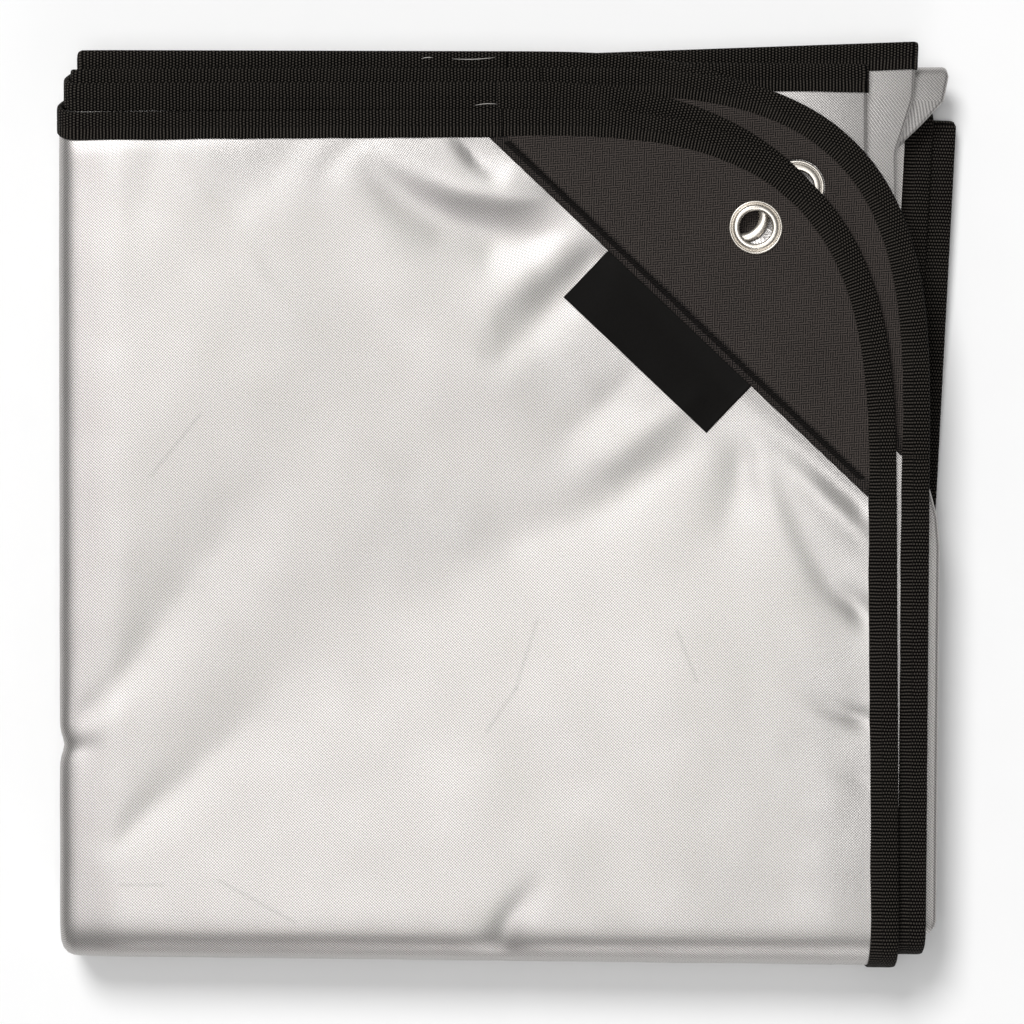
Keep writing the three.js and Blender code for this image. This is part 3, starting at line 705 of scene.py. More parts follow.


# Looks of the materials. Lengths are in metres. skew: how far warp and weft lean; wander: scale and share of
# the threads' unevenness; grain, wear and the like: scale of a noise and its share of the tone; line: width
# of the painted shade on the cloth's fine creases, and how much it darkens the tone; shades: factors of the
# colour where it is darkest and lightest; rough: roughness and its swing; bump: strength and depth.
SILVER = {
    "skew": (0.028, 0.104),
    "wander": (120.0, 1.2),
    "weave": 0.5,
    "grain": (1500.0, 0.7),
    "wear": 46.0,
    "line": (0.0016, 0.08),
    "shades": (0.35, 1.65),
    "rough": (0.39, 0.12, 0.1),
    "metal": 0.8,
    "bump": (0.2, 0.0002),
}
# rib: the rib heights between which the tape's tone rises, giving painted shade in its gaps and painted
# highlight on its crests
WEBBING = {
    "wander": 180.0,
    "bead": 0.00126,
    "beads": (0.0055, 0.0075, 0.12, 0.3),
    "rib": (0.6, 1.2),
    "fibre": (2600.0, 0.75, 0.6),
    "dust": (70.0, 0.12),
    "shades": (0.01, 1.0),
    "rough": (0.72, 0.3),
    "shine": 0.05,
    "bump": (1.0, 0.0004),
}
CANVAS = {
    "skew": (0.03, 0.06),
    "wander": (120.0, 1.2),
    "areas": (420.0, 0.35, 0.65),
    "weave": 0.65,
    "fibre": (2200.0, 0.9),
    "cloud": (30.0, 0.2),
    "hem": (0.0056, 0.0064, 0.3),
    "shades": (0.02, 2.2),
    "rough": (0.78, 0.25),
    "shine": 0.2,
    "bump": (0.6, 0.0002),
}
NICKEL = {"haze": 90.0, "shades": (0.94, 1.06), "rough": (0.3, 0.1)}
SATIN = {
    "twill": (0.00062, 2.0, 0.25),
    "fibre": (2400.0, 0.5),
    "shades": (0.7, 1.6),
    "rough": (0.44, 0.2),
    "shine": 0.06,
    "bump": (0.35, 0.0001),
}
THREAD = {"fibre": 3000.0, "shades": (0.6, 1.4), "rough": (0.6, 0.2), "shine": 0.1, "bump": (0.5, 0.0001)}
TOP_HEIGHTS = (0.03, 0.035)  # the painted crease shade fades out below the top, between these heights
# Octaves of a noise, and how strong the finer ones are
FIBRES = (3.0, 0.7)
SPOTS = (2.0, 0.6)
WORN = (2.0, 0.65)
HAZY = (2.0, 0.4)


def shade(colour, factor):
    return (*(channel * factor for channel in colour), 1.0)


def shades(surface, tone, colour, look):
    """The colour at a tone from 0 to 1, between the look's two shades."""
    dark, light = look["shades"]
    return surface.mix(tone, shade(colour, dark), shade(colour, light))


def swing(value, share):
    """A noise from 0 to 1 as a swing about zero."""
    return (value - 0.5) * share


def woven(surface, look, colour, tone, fibre, height):
    """The finished surface of thread: its colour at a tone, its roughness by its fibres, and its bump."""
    middle, by_fibre = look["rough"]
    return surface.finish(
        Base_Color=shades(surface, tone, colour, look),
        Roughness=middle + swing(fibre, by_fibre),
        Normal=surface.bump(height, *look["bump"]),
        Specular_IOR_Level=look["shine"],
    )


def threads(surface, pitch, look):
    """Waves of the warp and of the weft, a little askew, and the flat place."""
    u, v, place = surface.flat()
    scale, angle = look["wander"]
    wander = swing(surface.noise(place, scale, 0.0), angle)
    lean_warp, lean_weft = look["skew"]
    turn = 2 * math.pi / pitch
    warp = ((u - v * lean_warp) * turn + wander).sine()
    weft = ((v - u * lean_weft) * turn + wander).sine()
    return warp, weft, place


def painted_crease_shade(surface, room):
    """1 on the fine creases of the top, whose shade is painted into the colour, 0 elsewhere."""
    parts = surface.node("ShaderNodeSeparateXYZ", None, {0: room})
    x, y, z = (Value(surface, socket) for socket in parts.outputs)
    total = 0.0
    for ends in SHADED_CREASE_LINES:
        (x0, y0), (x1, y1) = [((px - CENTRE[0]) * MM, (py - CENTRE[1]) * MM) for px, py in ends]
        run = math.hypot(x1 - x0, y1 - y0)
        away_x, away_y = x - x0, y - y0
        share = (away_x * ((x1 - x0) / run**2) + away_y * ((y1 - y0) / run**2)).clamp()
        off_x = away_x - share * (x1 - x0)
        off_y = away_y - share * (y1 - y0)
        away = (off_x * off_x + off_y * off_y) ** 0.5
        total = total + (1 - away.ramp(0.0, SILVER["line"][0]))
    return total * z.ramp(*TOP_HEIGHTS)


def silver_cloth(colours, sizes):
    surface = Surface("silver_cloth")
    warp, weft, place = threads(surface, sizes.weave, SILVER)
    weave = warp * weft
    room = surface.room()
    scale, share = SILVER["grain"]
    grain = surface.noise(place, scale, *SPOTS)
    wear = surface.noise(room, SILVER["wear"], *WORN)
    # The fine creases darken the tone: painted shade in the cloth's colour
    tone = 0.5 + weave * SILVER["weave"] + swing(grain, share) - painted_crease_shade(surface, room) * SILVER["line"][1]
    middle, by_wear, by_grain = SILVER["rough"]
    return surface.finish(
        Base_Color=shades(surface, tone, colours.silver, SILVER),
        Roughness=middle + swing(wear, by_wear) + swing(grain, by_grain),
        Metallic=SILVER["metal"],
        Normal=surface.bump(weave, *SILVER["bump"]),
    )


def ribbed_tape(colours, sizes):
    surface = Surface("black_webbing")
    u, v, place = surface.flat()
    wander = surface.noise(place, WEBBING["wander"], 0.0) - 0.5
    cord = (u * (math.pi / sizes.rib) + wander).sine()
    weft = (v * (2 * math.pi / WEBBING["bead"])).sine()
    start, end, least, more = WEBBING["beads"]
    rib = abs(cord) + cord * weft * (least + v.ramp(start, end) * more)
    scale, base, share = WEBBING["fibre"]
    fibre = surface.noise(place, scale, *FIBRES)
    dust_scale, dust_share = WEBBING["dust"]
    dust = surface.noise(surface.room(), dust_scale, *SPOTS)
    # Tone by rib height: the webbing's rib pattern, with painted shade in the gaps between ribs and painted
    # highlight on their crests
    tone = rib.ramp(*WEBBING["rib"]) * (base + fibre * share) + swing(dust, dust_share)
    return woven(surface, WEBBING, colours.webbing, tone, fibre, rib)


def patch_canvas(colours, sizes):
    surface = Surface("dark_canvas")
    warp, weft, place = threads(surface, sizes.canvas, CANVAS)
    scale, low, high = CANVAS["areas"]
    upright = surface.noise(place, scale).ramp(low, high)
    weave = warp * upright + weft * (1 - upright)
    fibre_scale, fibre_share = CANVAS["fibre"]
    fibre = surface.noise(place, fibre_scale, *FIBRES)
    cloud_scale, cloud_share = CANVAS["cloud"]
    cloud = surface.noise(surface.room(), cloud_scale, *SPOTS)
    u, v, _ = surface.flat()
    start, end, darker = CANVAS["hem"]
    hem = 1 - (u * HEM["across"][0] + v * HEM["across"][1]).ramp(start, end)
    spots = swing(fibre, fibre_share) + swing(cloud, cloud_share)
    tone = 0.5 + weave * CANVAS["weave"] + spots - hem * darker
    return woven(surface, CANVAS, colours.canvas, tone, fibre, weave)


def plated_nickel(colours):
    surface = Surface("nickel")
    haze = surface.noise(surface.room(), NICKEL["haze"], *HAZY)
    least, more = NICKEL["rough"]
    colour = shades(surface, haze, colours.nickel, NICKEL)
    return surface.finish(Base_Color=colour, Roughness=least + haze * more, Metallic=1.0)


def label_satin(colours):
    surface = Surface("black_satin")
    u, v, place = surface.flat()
    pitch, slope, share = SATIN["twill"]
    twill = ((u + v * slope) * (2 * math.pi / pitch)).sine()
    scale, fibre_share = SATIN["fibre"]
    fibre = surface.noise(place, scale, *FIBRES)
    tone = 0.5 + twill * share + swing(fibre, fibre_share)
    return woven(surface, SATIN, colours.satin, tone, fibre, twill + fibre * fibre_share)


def sewing_thread(name, colour):
    surface = Surface(name)
    fibre = surface.noise(surface.room(), THREAD["fibre"], *FIBRES)
    return woven(surface, THREAD, colour, fibre, fibre, fibre)


CLOTH = "cover_cloth"
HOLE_ROOM = 0.8  # how much wider than an eyelet's bore the hole for it is, as a radius
# Cells of the cloth's grid, for the seven stretches of each direction
CELLS = {"across": (128, 14, 10, 6, 10, 12, 30), "along": (132, 18, 34, 8, 34, 14, 30)}


def cloth_face(sizes):
    """Height of the cloth's face over its middle, in millimetres."""
    return sizes.cloth / MM / 2


def sewn_base(sizes):
    """Height over the cloth's middle at which pieces are sewn on."""
    return cloth_face(sizes) + GAP


def walked(us, vs):
    """How far along the flat cloth each station lies, in metres."""
    path = fold_stations(us, vs, *spread(us, vs), 0.0).reshape(-1, 3)
    steps = np.linalg.norm(np.diff(path, axis=0), axis=1)
    return np.concatenate([[0], np.cumsum(steps)]) * MM


def flat_lengths():
    """The cloth's stations along its two middle lines, as lengths of the flat cloth."""
    middle = Stations.flat(0, 0, np.array([0.5]))
    return walked(whole_cloth(CELLS["across"]), middle), walked(middle, whole_cloth(CELLS["along"]))


class COVER_OT_cloth(bpy.types.Operator):
    """Builds the folded silver cloth as one thin sheet."""

    bl_idname = "cover.cloth"
    bl_label = "Folded cloth"

    def execute(self, context):
        sizes = context.scene.cover_sizes
        us = whole_cloth(CELLS["across"])
        vs = whole_cloth(CELLS["along"])
        x, y = spread(us, vs)
        kept = np.ones((x.shape[0] - 1, x.shape[1] - 1), bool)
        for a, b in CORNERS:
            near = (us.shares[a, 0][:, None] * vs.shares[b, 0][None, :]) > 0.5
            x, y = bore(x, y, kept, lean(a, b, *eyelet_centre(a, b)), EYELET_HOLE + HOLE_ROOM, near)
        top = us.shares[0, 0][:, None] * vs.shares[0, 0][None, :]
        rise = ripple(x, y) * top
        low = fold_stations(us, vs, x, y, rise - cloth_face(sizes))
        high = fold_stations(us, vs, x, y, rise + cloth_face(sizes))
        points, faces, used = closed_sheet(low, high, kept)
        uv = np.stack(np.meshgrid(*flat_lengths(), indexing="ij"), axis=-1).reshape(-1, 2)
        material = silver_cloth(context.scene.cover_colours, sizes)
        add_piece(CLOTH, points, faces, material, "silver_cloth", ("cloth",), np.tile(uv, (2, 1))[used])
        return {"FINISHED"}


LAP = 0.15  # how far a straight run laps into a corner's tape
STITCH_LINE = TAPE_IN + 0.42 * TAPE_WIDTH  # where the row of stitches runs, across the tape
# Section of the binding: out from the cloth's edge, and the height between the tape's inner and outer faces
LEG_SECTION = (
    (TAPE_IN, 0.15),
    (TAPE_IN - 0.1, 0.55),
    (TAPE_IN + 0.25, 0.92),
    (TAPE_IN + 0.8, 1.0),
    (STITCH_LINE - 0.7, 1.02),
    (STITCH_LINE, 0.78),
    (STITCH_LINE + 0.7, 1.02),
    (-2.0, 1.04),
    (-0.4, 0.9),
    (0.45, 0.55),
)
HOLLOW_END = 0.2  # how far out the hollow between the tape's legs keeps its height
EDGE_CELLS = {"top": (90, 14, 150, 8, 150, 14, 90), "side": (90, 26, 150, 10, 150, 18, 90), "corner": 150}
CORNER_STEPS = 1.5  # power that evens out the steps along a rounded corner
INSIDE = 0.98  # share of a layer at which the slant of its threads is taken
# The tape's small unevenness: its length, its height, and the seeds of its noise
SWAY = {"length": 24, "height": 0.35, "step": 7.3, "seed": 1.0}
PUCKER = {"length": 9, "height": 0.05, "step": 5.1, "seed": 4.0}


def tape_section(inner, outer):
    """The binding's closed outline, from the upper leg's inner end round the edge to the lower leg's."""
    upper = [(out, lerp(inner, outer, share)) for out, share in LEG_SECTION]
    edge = [(CLEARANCE + TAPE, 0.0)]
    lower = [(out, -w) for out, w in reversed(upper)]
    rising = [(CLEARANCE, 0.0), (HOLLOW_END, inner), (TAPE_IN, inner)]
    return upper + edge + lower + [(TAPE_IN, -inner), (HOLLOW_END, -inner)] + rising


class Edge:
    """A stretch of bound edge: where a point lies, given how far out from the edge and how high it is."""

    def __init__(self, node, place, count):
        self.node = node
        self.place = place
        self.count = count

    def line(self, out, w):
        return self.place(np.full(self.count, out), np.full(self.count, w))


def top_edge(node, b):
    """The upper edge of one half of the cloth, through its folds, between its two rounded corners."""
    whole = [corner_point(a, b, math.pi / 4)[0] - LEFT_AXIS for a in (0, 1)]
    ends = [(curve_start(square_corner(a, b)[0]) + LAP - LEFT_AXIS) / whole[a] for a in (0, 1)]
    us = whole_cloth(EDGE_CELLS["top"], ends)
    vs = Stations.flat(b, 0, np.array([1.0]))
    x, y = spread(us, vs)
    inner_x, inner_y = spread(us, vs.shifted(np.array([INSIDE])))
    slant = np.where(us.free()[:, None] > 0, 0, (x - inner_x) / (y - inner_y))

    def place(out, w):
        out, w = out[:, None], w[:, None]
        return fold_stations(us, vs, x + slant * out, y + out, w)[:, 0]

    return Edge(node, place, len(us.over))


def side_edge(node, a):
    """The right edge of one half of the cloth, through its folds, between its two rounded corners."""
    us = Stations.flat(a, 0, np.array([1.0]))
    whole = [corner_point(a, b, math.pi / 4)[1] - BOTTOM_AXIS for b in (0, 1)]
    ends = [(curve_start(square_corner(a, b)[1]) + LAP - BOTTOM_AXIS) / whole[b] for b in (0, 1)]
    vs = whole_cloth(EDGE_CELLS["side"], ends)
    x, y = spread(us, vs)
    inner_x, inner_y = spread(us.shifted(np.array([INSIDE])), vs)
    slant = np.where(vs.free()[None, :] > 0, 0, (y - inner_y) / (x - inner_x))

    def place(out, w):
        out, w = out[None, :], w[None, :]
        return fold_stations(us, vs, x + out, y + slant * out, w)[0]

    return Edge(node, place, len(vs.over))


def corner_edge(node, a, b):
    """The edge round one rounded corner."""
    count = EDGE_CELLS["corner"]
    angle = (math.pi / 2) * even_steps(np.linspace(0, 1, count), CORNER_STEPS)

    def place(out, w):
        return on_corner(a, b, *corner_point(a, b, angle, out), w)

    return Edge(node, place, count)


def bound_edges():
    edges = [
        top_edge("binding_top_run", 0),
        top_edge("binding_under_run", 1),
        side_edge("binding_outer_side_run", 0),
        side_edge("binding_inner_side_run", 1),
    ]
    edges.extend(corner_edge(f"binding_corner_{i + 1}", a, b) for i, (a, b) in enumerate(CORNERS))
    return edges


def run_lengths(path):
    return np.concatenate([[0], np.cumsum(np.linalg.norm(np.diff(path, axis=0), axis=1))])


def unevenness(look, lengths, number):
    """A noise along a piece of tape."""
    places = [Vector((s / look["length"], number * look["step"], look["seed"])) for s in lengths]
    return look["height"] * np.array([noise.noise(place) for place in places])


class COVER_OT_binding(bpy.types.Operator):
    """Builds the black ribbed tape folded over every edge."""

    bl_idname = "cover.binding"
    bl_label = "Binding"

    def execute(self, context):
        sizes = context.scene.cover_sizes
        material = ribbed_tape(context.scene.cover_colours, sizes)
        inner = sewn_base(sizes)
        section = tape_section(inner, inner + sizes.tape / MM)
        for number, edge in enumerate(bound_edges()):
            self.tape(edge, section, inner, material, number)
        return {"FINISHED"}

    @staticmethod
    def tape(edge, section, inner, material, number):
        length = run_lengths(edge.line(0.0, 0.0))
        sway = unevenness(SWAY, length, number)
        pucker = unevenness(PUCKER, length, number)
        rings = []
        across = []
        distance = 0.0
        last = section[-1]
        for out, w in section:
            distance += math.hypot(out - last[0], w - last[1])
            last = (out, w)
            across.append(distance)
            inward = np.clip(-out / TAPE_WIDTH, 0, 1)
            lift = 1 + pucker * (abs(w) > inner + TINY)
            rings.append(edge.place(out + sway * inward, w * lift))
        grid = np.stack(rings, axis=1)
        count, size = grid.shape[:2]
        index = np.arange(count * size).reshape(count, size)
        following = np.roll(index, -1, axis=1)
        walls = np.stack([index[:-1], following[:-1], following[1:], index[1:]], axis=-1).reshape(-1, 4)
        faces = [*walls, index[0][::-1], index[-1]]
        uv = np.stack(np.meshgrid(length, across, indexing="ij"), axis=-1).reshape(-1, 2) * MM
        name = edge.node.replace("binding", "tape")
        piece = add_piece(name, grid.reshape(-1, 3), faces, material, "black_webbing", (edge.node,), uv)
        flip_if_inside_out(piece)


def seam_line(a, b):
    """The two ends of the diagonal seam, before the corner's lean."""
    right, top = square_corner(a, b)
    left_end = np.array((right - SEAM_LEGS["left"], top - SEAM_INSET))
    right_end = np.array((right - SEAM_INSET, top - SEAM_LEGS["right"]))
    return left_end, right_end


# A patch: cells along its seam and inwards, its places near the seam where the hem turns, how far it reaches
# under the tape, how far its ends stop short as angles, and the room round a lower eyelet's rim
PATCH = {
    "cells": (120, 61),
    "rim": np.array((0, 0.1, 0.3, 0.8, 2.4, 4.4, 5.4, 5.8, 6.05, 6.4)),
    "rim_share": 0.4,
    "lap": 0.4,
    "short": 0.004,
    "rim_room": 0.3,
}
HEM_POWER = 4  # how square the hem's section is


class COVER_OT_patches(bpy.types.Operator):
    """Builds the dark corner patches with their turned rim along the diagonal seam."""

    bl_idname = "cover.patches"
    bl_label = "Corner patches"

    def execute(self, context):
        sizes = context.scene.cover_sizes
        material = patch_canvas(context.scene.cover_colours, sizes)
        for i, (a, b) in enumerate(CORNERS):
            self.patch(i, a, b, sizes, material)
        return {"FINISHED"}

    @staticmethod
    def patch(i, a, b, sizes, material):
        on_top = i == 0
        left, right = seam_line(a, b)
        along, inward = PATCH["cells"]
        share = np.linspace(0, 1, along + 1)[:, None]
        angle = np.linspace(math.pi / 2 - PATCH["short"], PATCH["short"], along + 1)
        arc = np.stack(corner_point(a, b, angle, TAPE_IN + PATCH["lap"]), axis=-1)
        seam = left + (right - left) * share
        reach = np.linalg.norm(arc - seam, axis=1)[:, None]
        rim = PATCH["rim"][None, :]
        start = np.minimum(rim, reach * PATCH["rim_share"] * np.linspace(0, 1, rim.size)[None, :])
        steps = np.linspace(0, 1, inward + 1)[None, 1:]
        rest = start[:, -1:] + (reach - start[:, -1:]) * steps
        walk = np.concatenate([start, rest], axis=1) / np.maximum(reach, TINY)
        x = lerp(seam[:, :1], arc[:, :1], walk)
        y = lerp(seam[:, 1:], arc[:, 1:], walk)
        kept = np.ones((x.shape[0] - 1, x.shape[1] - 1), bool)
        hole = EYELET_HOLE + HOLE_ROOM if on_top else EYELET_RIM + PATCH["rim_room"]
        x, y = bore(x, y, kept, eyelet_centre(a, b), hole, np.ones(x.shape, bool))
        length = np.linalg.norm(right - left)
        away = (x - left[0]) * HEM["across"][0] + (y - left[1]) * HEM["across"][1]
        base = sewn_base(sizes)
        face = base + sizes.patch / MM
        middle = HEM["width"] / 2
        section = np.clip(1 - (away / middle - 1) ** HEM_POWER, 0, 1) ** (1 / HEM_POWER)
        ends = smooth(np.minimum(share, 1 - share) * length, 0, HEM["ends"])
        roll = section * ends * (HEM["height"] if on_top else 0.0)
        high = on_corner(a, b, x, y, face + roll)
        low = on_corner(a, b, x, y, np.full(x.shape, base))
        points, faces, used = closed_sheet(high, low, kept)
        uv = np.tile(np.stack([x - left[0], y - left[1]], axis=-1).reshape(-1, 2), (2, 1))[used] * MM
        name = f"patch_{i + 1}"
        piece = add_piece(f"corner_{name}", points, faces, material, "dark_canvas", (name,), uv)
        flip_if_inside_out(piece)


# Half section of an eyelet: radius, and height as a share from its seat on the patch to its crown
EYELET_ROLL = (
    (7.4, 0.25),
    (7.5, 0.6),
    (7.75, 0.86),
    (8.15, 0.98),
    (8.7, 1.0),
    (9.3, 0.98),
    (9.8, 0.9),
    (10.1, 0.7),
    (10.3, 0.4),
    (10.5, 0.16),
    (10.8, 0.16),
    (11.0, 0.4),
    (11.25, 0.56),
    (11.6, 0.58),
    (11.9, 0.5),
    (12.1, 0.34),
    (12.15, 0.16),
    (12.05, 0.02),
    (8.2, 0.0),
)
# Its neck's radius, and its back: radius, and depth below the cloth
EYELET_NECK = 7.9
EYELET_BACK = ((7.9, 0.0), (11.9, 0.0), (12.1, 0.3), (11.9, 0.6), (7.6, 0.6))
EYELET_SIDES = 96
EYELET_CROWN = 1.75  # height of the top eyelet over its seat
EYELET_LIFT = 0.05  # from the top patch's face to the eyelet's seat


class COVER_OT_eyelets(bpy.types.Operator):
    """Turns the nickel eyelets and sets one in each corner."""

    bl_idname = "cover.eyelets"
    bl_label = "Eyelets"

    def execute(self, context):
        sizes = context.scene.cover_sizes
        material = plated_nickel(context.scene.cover_colours)
        base = sewn_base(sizes)
        for i, (a, b) in enumerate(CORNERS):
            on_top = i == 0
            seat = base + sizes.patch / MM + EYELET_LIFT if on_top else base
            crown = seat + EYELET_CROWN if on_top else SOLID_TAPE_FACE
            self.eyelet(i, a, b, seat, crown, base, material)
        return {"FINISHED"}

    @staticmethod
    def eyelet(i, a, b, seat, crown, base, material):
        upper = [(r, lerp(seat, crown, share)) for r, share in EYELET_ROLL]
        lower = [(EYELET_NECK, seat), *((r, -base - depth) for r, depth in EYELET_BACK)]
        section = upper + lower
        centre = on_corner(a, b, *eyelet_centre(a, b), 0.0)
        facing = 1 if a == b else -1
        angle = np.linspace(0, 2 * math.pi, EYELET_SIDES, endpoint=False)
        radius = np.array([r for r, _ in section])
        height = np.array([w for _, w in section])
        grid = np.stack(
            [
                centre[0] + np.cos(angle)[:, None] * radius,
                centre[1] + np.sin(angle)[:, None] * radius,
                centre[2] + facing * np.broadcast_to(height, (EYELET_SIDES, len(section))),
            ],
            axis=-1,
        )
        index = np.arange(grid.shape[0] * grid.shape[1]).reshape(grid.shape[:2])
        beside = np.roll(index, -1, axis=0)
        below = np.roll(index, -1, axis=1)
        across = np.roll(beside, -1, axis=1)
        faces = np.stack([index, beside, across, below], axis=-1).reshape(-1, 4)
        name = f"eyelet_{i + 1}"
        piece = add_piece(f"corner_{name}", grid.reshape(-1, 3), faces, material, "nickel", (name,))
        flip_if_inside_out(piece)


def label_corner():
    """The label's upper left corner and its two directions, before the corner's lean."""
    left, right = seam_line(0, 0)
    down = (right - left) / np.linalg.norm(right - left)
    away = np.array((down[1], -down[0]))
    return left + down * LABEL["start"], down, away


class COVER_OT_label(bpy.types.Operator):
    """Builds the blank black label that is sewn into the diagonal seam."""

    bl_idname = "cover.label"
    bl_label = "Label"

    def execute(self, context):
        sizes = context.scene.cover_sizes
        corner, down, away = label_corner()
        cells_along, cells_across = LABEL["cells"]
        s = np.linspace(0, 1, cells_along + 1)[:, None]
        t = np.linspace(-LABEL["tuck"], 1, cells_across + 1)[None, :]
        along = s * LABEL["along"]
        across = t * LABEL["across"]
        x = corner[0] + down[0] * along + away[0] * across
        y = corner[1] + down[1] * along + away[1] * across
        edge = np.minimum(np.minimum(s, 1 - s) * LABEL["along"], (1 - t) * LABEL["across"])
        hem = LABEL["hem"] * (1 - smooth(edge, *LABEL["hem_edge"]))
        bow = sum(height * np.sin(s * turn + start) * t**power for height, turn, start, power in LABEL_BOWS)
        lower = cloth_face(sizes) + LABEL["gap"] + np.clip(bow, 0, None)
        low = on_corner(0, 0, x, y, lower)
        high = on_corner(0, 0, x, y, lower + LABEL["thick"] + hem)
        kept = np.ones((x.shape[0] - 1, x.shape[1] - 1), bool)
        points, faces, used = closed_sheet(low, high, kept)
        flat = np.stack(np.broadcast_arrays(along, across), axis=-1).reshape(-1, 2)
        material = label_satin(context.scene.cover_colours)
        uv = np.tile(flat, (2, 1))[used] * MM
        piece = add_piece("blank_label", points, faces, material, "black_satin", ("label",), uv)
        flip_if_inside_out(piece)
        return {"FINISHED"}


SEAM_ROW = 4.0  # from the patch's edge to the middle of the row of stitches on its hem
SEAM_ENDS = (0.03, 0.97)  # where the row starts and ends, as shares of the seam
SEAM_POINTS = 200
SEAM_STITCH = {"pitch": 0.95, "length": 3.3, "radius": 0.4, "seed": 5.0, "slant": 0.95}
# The tape's stitches: length as a share of their pitch, how far they sink in, and how far up they face
TAPE_STITCH = {"share": 0.74, "radius": 0.19, "seed": 2.0, "sunk": 0.1, "up": 0.4}
STITCH_SHIFT = 0.12  # unevenness of the stitches, as a share of the pitch
STITCH_NOISE = (1.7, 3.1)  # steps of its noise, from stitch to stitch and from row to row
STITCH_REACH = 0.5  # how far to each side of a stitch its direction is taken
STITCH_SIDES = 5
STITCH_RINGS = ((-0.5, 0.5), (0.0, 1.15), (0.5, 0.5))  # along the stitch, and its thickness there


def tubes(rings):
    """Points and faces of closed tubes, from an array of tubes, rings, sides and coordinates."""
    count, length, sides = rings.shape[:3]
    index = np.arange(count * length * sides).reshape(count, length, sides)
    beside = np.roll(index, -1, axis=2)
    walls = np.stack([index[:, :-1], beside[:, :-1], beside[:, 1:], index[:, 1:]], axis=-1).reshape(-1, 4)
    return rings.reshape(-1, 3), [*walls, *index[:, 0, ::-1], *index[:, -1]]


def unit(vectors):
    return vectors / np.maximum(np.linalg.norm(vectors, axis=-1, keepdims=True), TINY)


def rings_about(centres, along, up, radius):
    """Rings of points about the centres, square to the direction along."""
    side = unit(np.cross(up, along))
    rise = np.cross(along, side)
    angle = 2 * math.pi * np.arange(STITCH_SIDES) / STITCH_SIDES
    round_about = side[..., None, :] * np.cos(angle)[:, None] + rise[..., None, :] * np.sin(angle)[:, None]
    return centres[..., None, :] + round_about * np.asarray(radius)[..., None, None]


def stitches(paths, pitch, length, radius, seed, slant=0.0):
    """Short rounded stitches, evenly set along each path of points with its upward directions."""
    made = []
    for number, (path, upward) in enumerate(paths):
        run = run_lengths(path)
        places = np.arange(pitch / 2, run[-1] - pitch / 2, pitch)
        by_stitch, by_row = STITCH_NOISE
        steps = [Vector((k * by_stitch, number * by_row, seed)) for k in range(len(places))]
        shift = [noise.noise(place) for place in steps]
        places = places + STITCH_SHIFT * pitch * np.array(shift)

        def at(values, where):
            return np.stack([np.interp(where, run, values[:, axis]) for axis in range(3)], axis=-1)

        along = unit(at(path, places + STITCH_REACH) - at(path, places - STITCH_REACH))
        aside = unit(np.cross(at(upward, places), along))
        along = along * math.cos(slant) + aside * math.sin(slant)
        step = np.array([share for share, _ in STITCH_RINGS]) * length
        centres = at(path, places)[:, None] + along[:, None] * step[:, None]
        thick = np.broadcast_to([radius * share for _, share in STITCH_RINGS], centres.shape[:2])
        up = np.broadcast_to(at(upward, places)[:, None], centres.shape)
        made.append(rings_about(centres, np.broadcast_to(along[:, None], centres.shape), up, thick))
    return tubes(np.concatenate(made))


# Pale thread ends at the tape's joins: corner, first and last point, and the bow between them
THREAD_ENDS = (
    {"corner": (0, 1), "from": (-39.2, 201.4), "to": (-34.0, 201.8), "bow": 0.3},
    {"corner": (0, 1), "from": (-25.4, 201.3), "to": (-5.8, 201.9), "bow": -0.5},
    {"corner": (1, 0), "from": (-15.0, 179.7), "to": (-5.0, 180.3), "bow": 0.4},
)
# Their points, radius, the angle that their tips leave off, and height over the tape
THREAD_END = {"points": 12, "radius": 0.17, "taper": 0.25, "lift": 0.12}


def thread_ends(height):
    """The pale thread ends, as thin bowed tubes on their tapes."""
    share = np.linspace(0, 1, THREAD_END["points"])
    taper = np.sin(lerp(THREAD_END["taper"], math.pi - THREAD_END["taper"], share))
    made = []
    for row in THREAD_ENDS:
        a, b = row["corner"]
        facing = 1 if a == b else -1
        x = lerp(row["from"][0], row["to"][0], share)
        y = lerp(row["from"][1], row["to"][1], share) + row["bow"] * np.sin(share * math.pi)
        path = fold(a * math.pi, b * math.pi, 0.0, 0.0, x, y, np.full(share.shape, facing * height))
        along = unit(np.gradient(path, axis=0))
        up = np.broadcast_to((0.0, 0.0, 1.0), path.shape)
        made.append(rings_about(path, along, up, THREAD_END["radius"] * taper))
    return tubes(np.stack(made))


